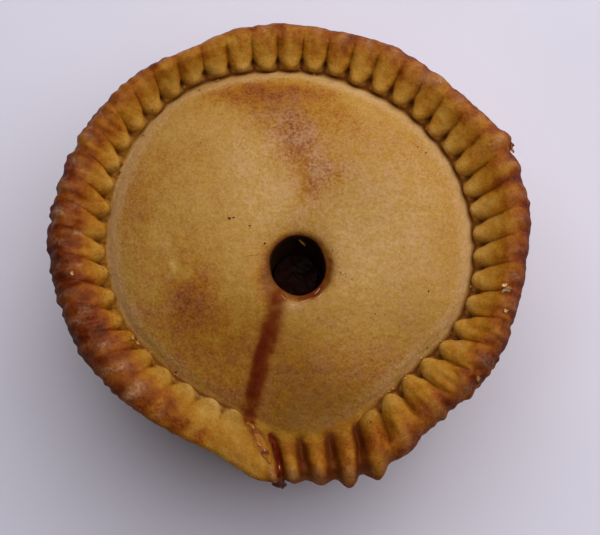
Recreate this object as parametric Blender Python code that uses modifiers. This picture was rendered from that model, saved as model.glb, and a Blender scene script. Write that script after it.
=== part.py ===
"""Meat and potato pie: a hand raised case, a rim of finger pinches and a domed lid with a vent.

Run it with:  blender --background --python part.py

Lengths are in metres and +Z is up. The origin is the middle of the flat base. Angles are in
degrees, anticlockwise from +X as seen from above, so the front of the pie is at 270.
Two solids are made: the crust, which is the case, its rim and the lid as one baked piece, and
the gravy that stands in the bottom of the vent.
"""
import bisect
import math
import random

import bmesh
import bpy
from mathutils import Matrix, Vector, noise

MM = 0.001

# ---- driving dimensions ----------------------------------------------------------------
BASE_RADIUS = 43 * MM          # flat base, to the foot of the wall
RIM_RADIUS = 51.5 * MM         # the rim where it is neither pulled out nor drawn in
LIP_HEIGHT = 44.8 * MM         # widest line of the rim
CREST_HEIGHT = 49.4 * MM       # top of the rim
LID_HEIGHT = 54.6 * MM         # top of the dome, where the vent would be without its slope
VENT_RADIUS = 5.95 * MM
VENT_PLACE = (1.2 * MM, -5.4 * MM)
VENT_DEPTH = 18 * MM           # from the lid's top down to the vent's flat bottom
GRAVY_DEPTH = 5 * MM           # gravy standing in the vent
GAP = 0.3 * MM                 # between the gravy and the crust

# The wall's profile from the flat base up: how far outside the foot's line, and how high.
WALL = ((-3.2, 0), (-0.9, 0.9), (0.3, 4), (1.5, 17), (2.7, 30))
WALL_SWELL = 0.45 * MM         # how uneven the wall is
SWELL_SIZE = 14 * MM
# The rim is drawn in where its loose end is laid over, and pulled out beside it.
OUTLINE = {0: 52.1, 10: 53.4, 20: 53.4, 30: 54.1, 37: 52.8, 52: 51.9, 64: 52.8, 80: 52.2,
           97: 53.3, 117: 52.0, 130: 53.3, 148: 53.6, 168: 53.4, 180: 53.1, 190: 52.0, 208: 51.0,
           222: 49.4, 237: 47.5, 251: 47.4, 257: 48.8, 263: 51.0, 270: 51.3, 283: 52.0, 295: 52.2,
           308: 49.9, 325: 50.9, 345: 50.9}
# How far from the middle the finger tips end.
TIPS = {5: 40.0, 30: 40.7, 60: 40.4, 72: 40.6, 85: 41.2, 105: 42.2, 126: 44.1, 140: 43.2, 155: 42.1,
        180: 40.7, 205: 39.4, 222: 37.9, 245: 37.4, 257: 38.6, 268: 40.8, 278: 41.2, 288: 40.0,
        300: 38.4, 319: 37.6, 335: 39.2}
# Runs of equal pinches: the first one's middle, the step to the next, how many.
PINCH_RUNS = ((268.5, 8.3, 7), (327.0, 7.85, 4), (358.2, 7.1, 18), (125.9, 6.85, 10),
              (195.0, 7.35, 4), (225.6, 9.05, 4), (261.0, 7.5, 1))
# Degrees that the inner end of a pinch is turned on from its outer end.
SLANT = {0: -1.5, 60: -1.1, 90: 0.6, 130: 2.6, 185: 3.0, 222: 2.3, 246: 0, 257: -8.2,
         265: -3.2, 280: 0.2, 297: 3.2, 313: -1.1, 340: -1.5}
# Depth of the creases at the finger tips, along the crest and at the lip.
TIP_DEPTH = {0: 2.5, 90: 2.7, 140: 2.2, 200: 1.9, 225: 1.2, 250: 0.8, 257: 0.8, 265: 2.4, 290: 2.8, 310: 2.5}
CREST_DEPTH = {0: 0.6, 60: 0.55, 90: 0.5, 130: 0.3, 150: 0.15, 205: 0.15, 222: 0.05, 240: 0.0, 257: 0.1,
               261: 0.9, 265: 2.4, 295: 2.6, 303: 1.4, 320: 0.8}
LIP_DEPTH = {0: 0.2, 60: 0.12, 150: 0.12, 215: 0.1, 240: 0.0, 258: 0.0, 265: 0.6, 292: 0.5,
             304: 0.5, 330: 0.3}
# Above 1 the ends of the pinches are narrower than the pinches.
NARROWING = {0: 1.04, 60: 1.08, 100: 1.02, 150: 1.02, 205: 1.0, 265: 1.0, 300: 1.04, 330: 1.08}
# How far the gaps between the finger tips reach out from the tips' line.
GAP_REACH = {0: 2.3, 90: 2.6, 150: 2.0, 205: 1.9, 222: 1.4, 250: 1.2, 262: 2.0, 300: 2.2}
# How far the creases at the tips run on up the slope to the crest.
RUN_ON = {0: 0.42, 60: 0.45, 95: 0.5, 130: 0.3, 150: 0.15, 205: 0.12, 222: 0.08, 250: 0.06,
          262: 0.5, 300: 0.5, 320: 0.4}
# 1 where the loose end of the rim is rolled thin, and its edge is sharp and high.
SHARPNESS = {0: 0, 60: 0.15, 130: 0.15, 210: 0.1, 222: 0.5, 236: 1, 256: 1, 264: 0.4, 272: 0.1, 300: 0}
# Between 0 for a thin ridge with a wide hollow beside it and 1 for a fat pad.
FATNESS = {0: 1.0, 200: 1.0, 245: 0.9, 257: 0.8, 268: 0.3, 284: 0.35, 295: 0.5, 306: 0.85, 330: 1.0}
# How far the lid drops into the groove at its edge, and how high the finger tips stand over it.
GROOVE_DROP = {0: 0.9, 200: 0.9, 225: 0.7, 250: 0.6, 262: 0.0, 287: 0.0, 297: 0.6, 315: 0.9}
NOSE_HEIGHT = {0: 2.2, 200: 2.0, 225: 1.6, 250: 1.4, 263: 0.3, 287: 0.3, 297: 1.5, 320: 2.2}
# Where the lid runs straight into the ridges the finger tips have no ends.
TIP_FREE = {0: 1, 245: 1, 256: 0.8, 264: 0, 286: 0, 295: 0.8, 304: 1}
# The dome of the lid, which is steepest at the back and runs low to the front.
DOME_RADIUS = {0: 40.8, 90: 42.8, 130: 44.2, 180: 41.2, 225: 40.6, 270: 43.6, 315: 40.6}
DOME_EDGE = {0: 41.8, 90: 42.4, 180: 42.0, 225: 43.2, 270: 45.4, 315: 42.8}
DOME_ROUND = {0: 1.7, 90: 2.1, 180: 1.8, 270: 1.15}
# Pinches that stand out from the rim, by angle.
PROUD = {20: 0.7, 28: 1.0, 269: 0.3, 277: 0.7, 285: 2.0, 293: 1.7}

WORN_SIDE = 292                # angle of the vent's brim that the gravy ran over most
# Rings of the lid, from 1 at its edge to the mouth of the vent.
MOUTH_RING = 0.2
LID_RINGS = (1.0, 0.985, 0.955, 0.9, 0.8, 0.66, 0.5, 0.36, 0.28, 0.235)
SEED = 47
COLUMNS_IN_PINCH = 8
TRIANGLE_SHARE = 0.37          # of the finely built crust that the finished solid keeps


def around(table, angle):
    """Read a table of values by angle as one smooth closed curve."""
    stops = sorted(table)
    angle %= 360
    after = bisect.bisect_right(stops, angle)
    places = [after - 2, after - 1, after, after + 1]
    count = len(stops)
    angles = [stops[i % count] + 360 * (i // count) for i in places]
    values = [table[stops[i % count]] for i in places]
    width = angles[2] - angles[1]
    t = (angle - angles[1]) / width
    start = (values[2] - values[0]) / (angles[2] - angles[0]) * width
    end = (values[3] - values[1]) / (angles[3] - angles[1]) * width
    rise = values[2] - values[1]
    return values[1] + t * (start + t * (3 * rise - 2 * start - end + t * (start + end - 2 * rise)))


def ease(value, low, high):
    """Rise smoothly from 0 at low to 1 at high."""
    t = min(max((value - low) / (high - low), 0.0), 1.0)
    return t * t * (3 - 2 * t)


def lumps(x, y, z, size, seed):
    """Uneven swell between about -1 and 1 whose bumps are about `size` across."""
    return noise.noise(Vector((x / size + seed, y / size, z / size)))


class Pinch:
    """One finger pinch of the rim: where it lies and how it differs from the next one."""

    def __init__(self, middle, dice):
        self.middle = middle
        self.lift = dice.uniform(-0.35, 0.35) * MM
        self.reach = dice.uniform(-0.3, 0.3) * MM
        self.proud = dice.uniform(-0.15, 0.25) * MM
        self.lean = dice.uniform(-0.12, 0.12)
        for angle, extra in PROUD.items():
            if abs(angle - middle % 360) < 4:
                self.proud += extra * MM


def make_pinches():
    dice = random.Random(SEED)
    middles = [start + step * k for start, step, count in PINCH_RUNS for k in range(count)]
    return [Pinch(middle, dice) for middle in middles]


def creases(pinches):
    """Angles of the creases between the pinches, at the finger tips, rising all the way round."""
    middles = []
    for pinch in pinches:
        middle = pinch.middle % 360
        while middles and middle < middles[-1]:
            middle += 360
        middles.append(middle)
    closed = [middles[-1] - 360] + middles + [middles[0] + 360]
    return [(a + b) / 2 for a, b in zip(closed, closed[1:])]


def columns(pinches):
    """Columns of the crust: pinch, place across it from -1 to 1, inner and outer angle."""
    edges = creases(pinches)
    outer_edges = [edge - around(SLANT, edge) for edge in edges]
    found = []
    for k, pinch in enumerate(pinches):
        for step in range(COLUMNS_IN_PINCH):
            across = math.sin(math.pi * (step / COLUMNS_IN_PINCH - 0.5))
            share = (across + 1) / 2
            inner = edges[k] + (edges[k + 1] - edges[k]) * share
            outer = outer_edges[k] + (outer_edges[k + 1] - outer_edges[k]) * share
            found.append((pinch, across, inner, outer))
    return found


def fullness(across, fat, lean):
    """Height of a pinch across its width, 1 on its back and 0 in the creases beside it."""
    place = min(abs(across - lean * (1 - across * across)), 1.0)
    return (1 - place ** (2 + 0.5 * fat)) ** (2.2 - 1.7 * fat)


def fingertip(across, narrowing, lean):
    """How far the end of a pinch reaches across its width: 1 in its middle and 0 beside the gaps."""
    place = abs(across - lean * (1 - across * across)) * narrowing
    return max(1 - place ** 2.1, 0) ** 0.85


def lid_edge(angle):
    return (around(TIPS, angle) - 0.3) * MM


def groove_height(angle):
    """Height of the bottom of the groove between the lid and the finger tips."""
    turn = math.radians(angle)
    edge = lid_edge(angle)
    return lid_height(math.cos(turn) * edge, math.sin(turn) * edge) - around(GROOVE_DROP, angle) * MM


def lid_height(x, y):
    """Height of the lid's dome at a point of the plan."""
    angle = math.degrees(math.atan2(y, x))
    edge = around(DOME_EDGE, angle) * MM
    share = min(math.hypot(x, y) / (around(DOME_RADIUS, angle) * MM), 1.0)
    dome = (1 - share ** 2.3) ** (1 / around(DOME_ROUND, angle))
    swell = 0.35 * MM * lumps(x, y, 0, 17 * MM, 3.1) * (1 - share ** 6)
    vent = math.hypot(x - VENT_PLACE[0], y - VENT_PLACE[1]) / VENT_RADIUS
    dip = 0.9 * MM * math.exp(-((vent - 1) / 0.55) ** 2)
    return edge + (LID_HEIGHT - edge) * dome + swell - dip


def rim_section(column):
    """Radius, height and angle of each station up the wall, over the rim and into the groove."""
    pinch, across, inner, outer = column
    lip = around(OUTLINE, outer) * MM
    draw = 0.4 + 0.6 * lip / RIM_RADIUS
    foot = BASE_RADIUS * draw
    tip = around(TIPS, inner) * MM
    groove = groove_height(inner)
    free = around(TIP_FREE, inner)
    sharp = around(SHARPNESS, inner)
    full = fullness(across, around(FATNESS, inner), pinch.lean)
    soft = 0.5 + 0.5 * math.cos(math.pi * across)
    end = fingertip(across, around(NARROWING, inner), pinch.lean)
    tip += end * free * pinch.reach
    lip += soft * pinch.proud - (1 - soft) * around(LIP_DEPTH, inner) * MM
    crest = CREST_HEIGHT + soft * pinch.lift
    nose = around(NOSE_HEIGHT, inner) * MM
    rise = crest - groove - nose
    reach = lip - tip
    crest_drop = (1 - full) * around(CREST_DEPTH, inner) * MM
    outer_drop = (1 - soft) * around(CREST_DEPTH, inner) * (1 - 0.6 * free) * MM
    tip_drop = (1 - full) * around(TIP_DEPTH, inner) * MM
    slope_drop = crest_drop + (tip_drop - crest_drop) * around(RUN_ON, inner)
    fall = (1 - end) * free
    back = fall * around(GAP_REACH, inner) * MM
    stations = (
        # the base and the wall
        (foot * 0.6, 0, 0),
        *((foot + out * MM, height * MM, 0) for out, height in WALL),
        (foot + (4.0 - 1.0 * sharp) * MM, 38 * MM, 0),
        # the roll under the lip and the lip
        (lip - (2.4 + 1.2 * sharp) * MM, (41.0 + 0.8 * sharp) * MM, 0),
        (lip - (0.6 + 1.4 * sharp) * MM, (42.8 + 1.6 * sharp) * MM, 0),
        (lip, LIP_HEIGHT + 2.2 * MM * sharp, 0),
        # the crest
        (lip - (0.08 - 0.05 * sharp) * reach, crest - (1.9 - 0.9 * sharp) * MM - 0.3 * outer_drop, 0.1),
        (lip - (0.22 - 0.06 * sharp) * reach, crest - 0.3 * MM - 0.6 * outer_drop, 0.25),
        (lip - 0.38 * reach, crest - crest_drop, 0.45),
        # the slope to the finger tips
        (tip + reach * 0.42 + 0.4 * slope_drop, groove + nose + 0.68 * rise - slope_drop, 0.65),
        (tip + reach * 0.22 + 0.3 * back,
         groove + nose + 0.32 * rise - (0.55 - 0.2 * free) * tip_drop - 0.4 * free * slope_drop, 0.85),
        # the finger tips, round their ends and down into the groove
        (tip + (1.5 - 1.1 * free) * MM + back,
         groove + nose + 0.4 * MM - 0.95 * fall * nose - 0.36 * (1 - free) * tip_drop, 1),
        (tip + (0.9 - 0.9 * free) * MM + back,
         groove + nose - 0.6 * MM * free - 0.7 * fall * nose - 0.20 * (1 - free) * tip_drop, 1),
        (tip + (0.5 - 0.25 * free) * MM + 0.6 * back,
         groove + 0.35 * nose - 0.25 * fall * nose - 0.07 * (1 - free) * tip_drop, 1),
        (tip + 0.1 * MM * (1 - free) + 0.15 * back, groove, 1),
    )
    return [(radius, height, outer + (inner - outer) * turned) for radius, height, turned in stations]


def mouth_radius(angle):
    """How far the vent's wall is from its middle at its mouth, which is a little long for its width."""
    turn = math.radians(angle)
    uneven = 0.05 * lumps(math.cos(turn), math.sin(turn), 0, 0.9, 8.2)
    return VENT_RADIUS * (1.05 + uneven - 0.035 * math.cos(2 * turn))


def brim_drop(angle, away):
    """How far the vent's brim is worn down at a distance from its mouth, most at the front right."""
    worn = 0.5 + 0.5 * math.cos(math.radians(angle - WORN_SIDE))
    return (0.25 + 1.25 * worn) * MM * (1 - ease(away, 0, (0.9 + 2.2 * worn) * MM)) ** 1.4


def lid_section(angle):
    """Points of the lid from its edge to the vent, then down the vent's wall to its bottom."""
    edge = lid_edge(angle)
    drop = around(GROOVE_DROP, angle) * MM
    direction = Vector((math.cos(math.radians(angle)), math.sin(math.radians(angle))))
    vent = Vector(VENT_PLACE)
    mouth = mouth_radius(angle)
    points = []
    for ring in LID_RINGS:
        place = direction * (mouth + (edge - mouth) * (ring - MOUTH_RING) / (1 - MOUTH_RING))
        place += vent * (1 - ease(ring, MOUTH_RING, 0.95))
        lower = drop * ease(ring, 0.94, 1.01) + brim_drop(angle, (place - vent).length - mouth)
        points.append((place.x, place.y, lid_height(place.x, place.y) - lower))
    brim = vent + direction * mouth
    top = lid_height(brim.x, brim.y) - brim_drop(angle, 0)
    bottom = LID_HEIGHT - VENT_DEPTH
    for radius, height in ((mouth, top - 0.3 * MM), (mouth - 0.3 * MM, top - 1.6 * MM),
                           (VENT_RADIUS - 0.1 * MM, (top + bottom) / 2), (VENT_RADIUS - 0.4 * MM, bottom)):
        place = vent + direction * radius
        points.append((place.x, place.y, height))
    return points


def crust_points(column):
    """One column of the crust, from the base up the wall, over the rim and down the vent."""
    points = []
    for radius, height, angle in rim_section(column):
        turn = math.radians(angle)
        x, y = math.cos(turn), math.sin(turn)
        swell = WALL_SWELL * lumps(x * radius, y * radius, height, SWELL_SIZE, 0.7)
        radius += swell * ease(height, 1 * MM, 12 * MM)
        points.append((x * radius, y * radius, height))
    return points + lid_section(column[2])


def new_material(name, colour, roughness, coat=0.0):
    material = bpy.data.materials.new(name)
    material.use_nodes = True
    shader = material.node_tree.nodes["Principled BSDF"]
    shader.inputs["Base Color"].default_value = (*colour, 1)
    shader.inputs["Roughness"].default_value = roughness
    shader.inputs["Metallic"].default_value = 0
    shader.inputs["Coat Weight"].default_value = coat
    return material


def turned(name, profile, steps, collection):
    """Turn a profile, listed down its outer side first, into an open skin with a Screw modifier."""
    mesh = bpy.data.meshes.new(name)
    mesh.from_pydata(profile, [(i, i + 1) for i in range(len(profile) - 1)], [])
    piece = bpy.data.objects.new(name, mesh)
    collection.objects.link(piece)
    screw = piece.modifiers.new("Turn", "SCREW")
    screw.steps = steps
    screw.render_steps = steps
    screw.use_merge_vertices = False
    skin = bpy.data.meshes.new_from_object(piece.evaluated_get(bpy.context.evaluated_depsgraph_get()))
    piece.modifiers.clear()
    piece.data = skin
    bpy.data.meshes.remove(mesh)
    return piece


def make_crust(collection):
    every = columns(make_pinches())
    first = crust_points(every[0])
    profile = [(math.hypot(x, y), 0, z) for x, y, z in reversed(first)]
    crust = turned("crust", profile, len(every), collection)
    rows = len(profile)
    mesh = crust.data
    for number, column in enumerate(every):
        for row, point in enumerate(reversed(crust_points(column))):
            mesh.vertices[number * rows + row].co = point
    close_ends(mesh)
    thin = crust.modifiers.new("Thin out", "DECIMATE")
    thin.ratio = TRIANGLE_SHARE
    mesh.shade_smooth()
    mesh.materials.append(new_material("baked crust", (0.50, 0.27, 0.07), 0.5))
    return crust


def close_ends(mesh):
    """Close the base and the vent's bottom with a flat face each, and turn all faces outward."""
    work = bmesh.new()
    work.from_mesh(mesh)
    bmesh.ops.holes_fill(work, edges=[edge for edge in work.edges if edge.is_boundary])
    bmesh.ops.recalc_face_normals(work, faces=work.faces)
    work.to_mesh(mesh)
    work.free()


def make_gravy(collection):
    """The gravy in the vent: a plug with a wavy top that climbs the wall a little."""
    radius = VENT_RADIUS * 0.94 - 0.4 * MM - GAP
    bottom = LID_HEIGHT - VENT_DEPTH + GAP
    top = bottom + GRAVY_DEPTH
    profile = [(radius * share, 0, top) for share in (0.12, 0.35, 0.6, 0.8, 0.93, 1.0)]
    profile += [(radius, 0, top - 1 * MM), (radius, 0, bottom), (radius * 0.3, 0, bottom)]
    gravy = turned("gravy", profile, 32, collection)
    for vertex in gravy.data.vertices:
        share = math.hypot(vertex.co.x, vertex.co.y) / radius
        if vertex.co.z > top - 0.5 * MM:
            vertex.co.z += 0.5 * MM * share ** 4
            vertex.co.z += 0.35 * MM * lumps(vertex.co.x, vertex.co.y, 0, 3 * MM, 5.5)
        vertex.co.x += VENT_PLACE[0]
        vertex.co.y += VENT_PLACE[1]
    close_ends(gravy.data)
    gravy.data.shade_smooth()
    gravy.data.set_sharp_from_angle(angle=math.radians(50))
    gravy.data.materials.append(new_material("gravy", (0.03, 0.012, 0.005), 0.15, 0.5))
    return gravy


def stand_on_origin(crust, others):
    """Move all pieces in the plan so that the middle of the crust's outline is the origin."""
    bpy.context.view_layer.update()
    shape = crust.evaluated_get(bpy.context.evaluated_depsgraph_get())
    corners = [Vector(corner) for corner in shape.bound_box]
    middle = sum(corners, Vector()) / len(corners)
    for piece in (crust, *others):
        piece.data.transform(Matrix.Translation((-middle.x, -middle.y, 0)))


def main():
    for old in list(bpy.data.objects):
        bpy.data.objects.remove(old, do_unlink=True)
    collection = bpy.data.collections.new("meat and potato pie")
    bpy.context.scene.collection.children.link(collection)
    crust = make_crust(collection)
    gravy = make_gravy(collection)
    stand_on_origin(crust, [gravy])


if __name__ == "__main__":
    main()
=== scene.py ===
"""Meat and potato pie: the finish of a hand raised pie, laid out as an add-on and run as a script.

The crust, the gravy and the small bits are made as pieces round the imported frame. Lengths are in
metres and +Z is up. Angles are in degrees, anticlockwise from +X as seen from above, so the front
of the pie is at 270. A place on the pie is given as x and y in millimetres, as seen from above.
"""
import bisect
import math
import random

import bmesh
import bpy
import numpy as np
from bpy.props import FloatProperty, FloatVectorProperty, IntProperty, PointerProperty
from mathutils import Matrix, Vector, noise
from mathutils.bvhtree import BVHTree


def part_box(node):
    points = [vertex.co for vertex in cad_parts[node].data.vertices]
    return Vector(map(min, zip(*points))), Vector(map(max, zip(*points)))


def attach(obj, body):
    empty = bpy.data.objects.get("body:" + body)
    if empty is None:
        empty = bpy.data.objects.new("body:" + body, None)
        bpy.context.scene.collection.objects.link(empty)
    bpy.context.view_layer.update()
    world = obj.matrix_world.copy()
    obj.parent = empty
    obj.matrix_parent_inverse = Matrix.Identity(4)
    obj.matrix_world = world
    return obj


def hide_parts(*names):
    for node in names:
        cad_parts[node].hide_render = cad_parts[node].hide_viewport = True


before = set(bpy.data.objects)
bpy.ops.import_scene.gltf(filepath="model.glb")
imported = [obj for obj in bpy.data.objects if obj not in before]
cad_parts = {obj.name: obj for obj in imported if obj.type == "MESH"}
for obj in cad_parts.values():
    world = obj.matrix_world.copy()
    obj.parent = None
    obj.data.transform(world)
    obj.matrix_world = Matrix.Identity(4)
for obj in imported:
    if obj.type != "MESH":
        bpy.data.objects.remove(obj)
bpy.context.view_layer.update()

bl_info = {
    "name": "Meat and potato pie",
    "version": (1, 0, 0),
    "blender": (4, 5, 0),
    "location": "3D View > Sidebar > Pie",
    "description": "Bakes a hand raised pie with a pinched rim, a domed lid and gravy in its vent",
    "category": "Add Mesh",
}

MM = 0.001

# ---- sizes taken from the frame --------------------------------------------------------------
CRUST_LOW, CRUST_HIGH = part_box("crust")
GRAVY_LOW, GRAVY_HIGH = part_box("gravy")
GAP = 0.3 * MM                                   # between the gravy and the crust
VENT_TAPER = 0.4 * MM                            # how much the vent is drawn in at its bottom
VENT_WOBBLE = 0.94                               # its narrowest place, in parts of its radius
GRAVY_RADIUS = (GRAVY_HIGH.x - GRAVY_LOW.x) / 2
VENT_RADIUS = (GRAVY_RADIUS + GAP + VENT_TAPER) / VENT_WOBBLE
VENT_PLACE = Vector(((GRAVY_LOW.x + GRAVY_HIGH.x) / 2, (GRAVY_LOW.y + GRAVY_HIGH.y) / 2))
VENT_BOTTOM = GRAVY_LOW.z - GAP
LID_HEIGHT = VENT_BOTTOM + 18 * MM               # the dome's top, without the vent
BASE_RADIUS = 43 * MM
RIM_RADIUS = 51.5 * MM
LIP_HEIGHT = 44.8 * MM
CREST_HEIGHT = 49.4 * MM
GRAVY_SLACK = 0.6 * MM                           # from the gravy's skin to the top of its box
GRAVY_CLIMB = 0.5 * MM                           # how far it is drawn up the vent's wall

# ---- the form of the rim and the lid, as the frame has it: millimetres by angle --------------
# The wall's profile from the flat base up: how far outside the foot's line, and how high.
WALL = ((-3.2, 0), (-0.9, 0.9), (0.3, 4), (1.5, 17), (2.7, 30))
# The rim's outer line and the line of the finger tips.
OUTLINE = {0: 52.1, 10: 53.4, 20: 53.4, 30: 54.1, 37: 52.8, 52: 51.9, 64: 52.8, 80: 52.2,
           97: 53.3, 117: 52.0, 130: 53.3, 148: 53.6, 168: 53.4, 180: 53.1, 190: 52.0, 208: 51.0,
           222: 49.4, 237: 48.0, 250: 47.9, 257: 49.5, 263: 51.5, 270: 51.3, 283: 51.9, 295: 52.0,
           308: 49.6, 318: 49.9, 327: 50.9, 345: 50.8}
TIPS = {5: 40.0, 30: 40.7, 60: 40.4, 72: 40.3, 85: 41.1, 105: 42.2, 126: 44.1, 140: 43.2, 155: 42.1,
        180: 40.7, 205: 39.4, 222: 37.9, 245: 37.4, 257: 38.6, 268: 40.8, 278: 41.2, 288: 40.0,
        300: 38.4, 319: 37.6, 335: 39.2}
# Runs of equal pinches: the first one's middle, the step to the next, how many.
PINCH_RUNS = ((268.5, 8.3, 7), (327.0, 7.85, 4), (358.2, 7.1, 18), (125.9, 6.85, 10),
              (195.0, 7.35, 4), (225.6, 9.05, 4), (261.0, 7.5, 1))
# Degrees that the inner end of a pinch is turned on from its outer end.
SLANT = {0: -1.5, 60: -1.1, 90: 0.6, 130: 2.6, 185: 3.0, 222: 2.3, 246: 0, 257: -8.2,
         265: -3.2, 280: 0.2, 297: 3.2, 313: -1.1, 340: -1.5}
# How much lower the creases are than the backs of the pinches, at the tips, the crest and the lip.
TIP_DEPTH = {0: 2.5, 90: 2.7, 140: 2.2, 200: 1.9, 225: 1.2, 250: 0.8, 257: 0.8, 265: 2.4,
             290: 2.8, 310: 2.5}
CREST_DEPTH = {0: 0.6, 60: 0.55, 90: 0.5, 130: 0.3, 150: 0.15, 205: 0.15, 222: 0.05, 240: 0.0,
               257: 0.1, 261: 0.9, 265: 2.4, 295: 2.6, 303: 1.4, 320: 0.8}
LIP_DEPTH = {0: 0.2, 60: 0.12, 150: 0.12, 215: 0.1, 240: 0.0, 258: 0.0, 265: 0.6, 292: 0.5,
             304: 0.5, 330: 0.3}
# How much narrower a pinch is at its finger tip than the room it has.
NARROWING = {0: 1.04, 60: 1.08, 100: 1.02, 150: 1.02, 205: 1.0, 265: 1.0, 300: 1.04, 330: 1.08}
# How far the gaps between the finger tips reach back, and how much of them runs on up the slope.
GAP_REACH = {0: 2.3, 90: 2.6, 150: 2.0, 205: 1.9, 222: 1.9, 250: 1.7, 262: 2.0, 300: 2.2}
RUN_ON = {0: 0.42, 60: 0.45, 95: 0.5, 130: 0.3, 150: 0.15, 205: 0.12, 222: 0.08, 250: 0.06,
          262: 0.5, 300: 0.5, 320: 0.4}
# Where the rim's edge is drawn out thin instead of rolled.
SHARPNESS = {0: 0, 60: 0.15, 130: 0.15, 210: 0.1, 222: 0.5, 236: 1, 256: 1, 264: 0.4, 272: 0.1, 300: 0}
# Between 0 for a thin ridge with a wide hollow beside it and 1 for a fat pad.
FATNESS = {0: 1.0, 200: 1.0, 245: 0.9, 257: 0.8, 268: 0.3, 284: 0.35, 295: 0.5, 306: 0.85, 330: 1.0}
# How deep the groove round the lid is, and how high the finger tips stand over it.
GROOVE_DROP = {0: 0.9, 200: 0.9, 225: 0.7, 250: 0.6, 262: 0.0, 287: 0.0, 297: 0.6, 315: 0.9}
NOSE_HEIGHT = {0: 2.2, 200: 2.0, 225: 1.6, 250: 1.4, 263: 0.3, 287: 0.3, 297: 1.5, 320: 2.2}
# 1 where the finger tips end free of the lid, 0 where they run into it.
TIP_FREE = {0: 1, 245: 1, 256: 0.8, 264: 0, 286: 0, 295: 0.8, 304: 1}
# The dome of the lid: where it would come down to its edge, how high that edge is, and its roundness.
DOME_RADIUS = {0: 40.8, 90: 42.8, 130: 44.2, 180: 41.2, 225: 40.6, 270: 43.6, 315: 40.6}
DOME_EDGE = {0: 41.8, 90: 42.4, 180: 42.0, 225: 43.2, 270: 45.4, 315: 42.8}
DOME_ROUND = {0: 1.7, 90: 2.1, 180: 1.8, 270: 1.15}
# Pinches that stand out from the rim, each found by its angle to within HALF_PINCH degrees.
HALF_PINCH = 4
PROUD = {20: 0.7, 28: 1.0, 269: 0.3, 277: 0.7, 285: 1.8, 293: 1.4}
# How torn the rim's outer edge is, in parts of a millimetre.
RAGGED = {0: 0.10, 60: 0.05, 120: 0.10, 150: 0.22, 190: 0.28, 215: 0.2, 235: 0.03, 270: 0.02,
          300: 0.12, 325: 0.25, 345: 0.2}

# ---- the baking: 0 is pale dough, 1 is burnt --------------------------------------------------
# On the rim's outer edge, on its crest and at the finger tips, by angle.
LIP_BAKE = {0: 0.80, 22: 0.72, 45: 0.68, 75: 0.76, 90: 0.70, 112: 0.64, 140: 0.73, 180: 0.82,
            205: 0.84, 222: 0.74, 240: 0.52, 258: 0.40, 272: 0.54, 295: 0.64, 320: 0.74, 340: 0.76}
CREST_BAKE = {0: 0.70, 22: 0.62, 45: 0.62, 75: 0.65, 90: 0.62, 112: 0.57, 140: 0.66, 160: 0.73,
              180: 0.82, 205: 0.86, 222: 0.75, 240: 0.61, 250: 0.54, 258: 0.44, 272: 0.54, 295: 0.64,
              320: 0.68, 340: 0.70}
TIP_BAKE = {0: 0.26, 30: 0.28, 60: 0.35, 90: 0.34, 120: 0.32, 150: 0.37, 180: 0.42, 205: 0.48,
            215: 0.50, 226: 0.40, 240: 0.28, 252: 0.24, 262: 0.38, 270: 0.52, 288: 0.52, 303: 0.38,
            330: 0.33}
WALL_BAKE = 0.48
LID_BAKE = 0.24
LID_LEFT_BAKE = 0.13                             # more of it at the lid's left side
LID_FRONT_BAKE = 0.20                            # more of it at the lid's front
LID_EDGE_BAKE = -0.22                            # and less in the pale line round its edge
# How much nearer to the finger tips the browning begins, in parts of a station.
BROWN_SHIFT = {0: 0.1, 60: 0.0, 100: 0.1, 150: 0.5, 205: 0.9, 225: 0.7, 250: 0.2, 265: 0.0, 300: 0.0}
# How glossy the rim's band is.
SHINE = {0: 0.7, 60: 0.6, 90: 0.6, 150: 0.9, 190: 1.0, 215: 1.0, 235: 0.6, 258: 0.4, 272: 0.5,
         300: 0.6, 330: 0.8}
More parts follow.
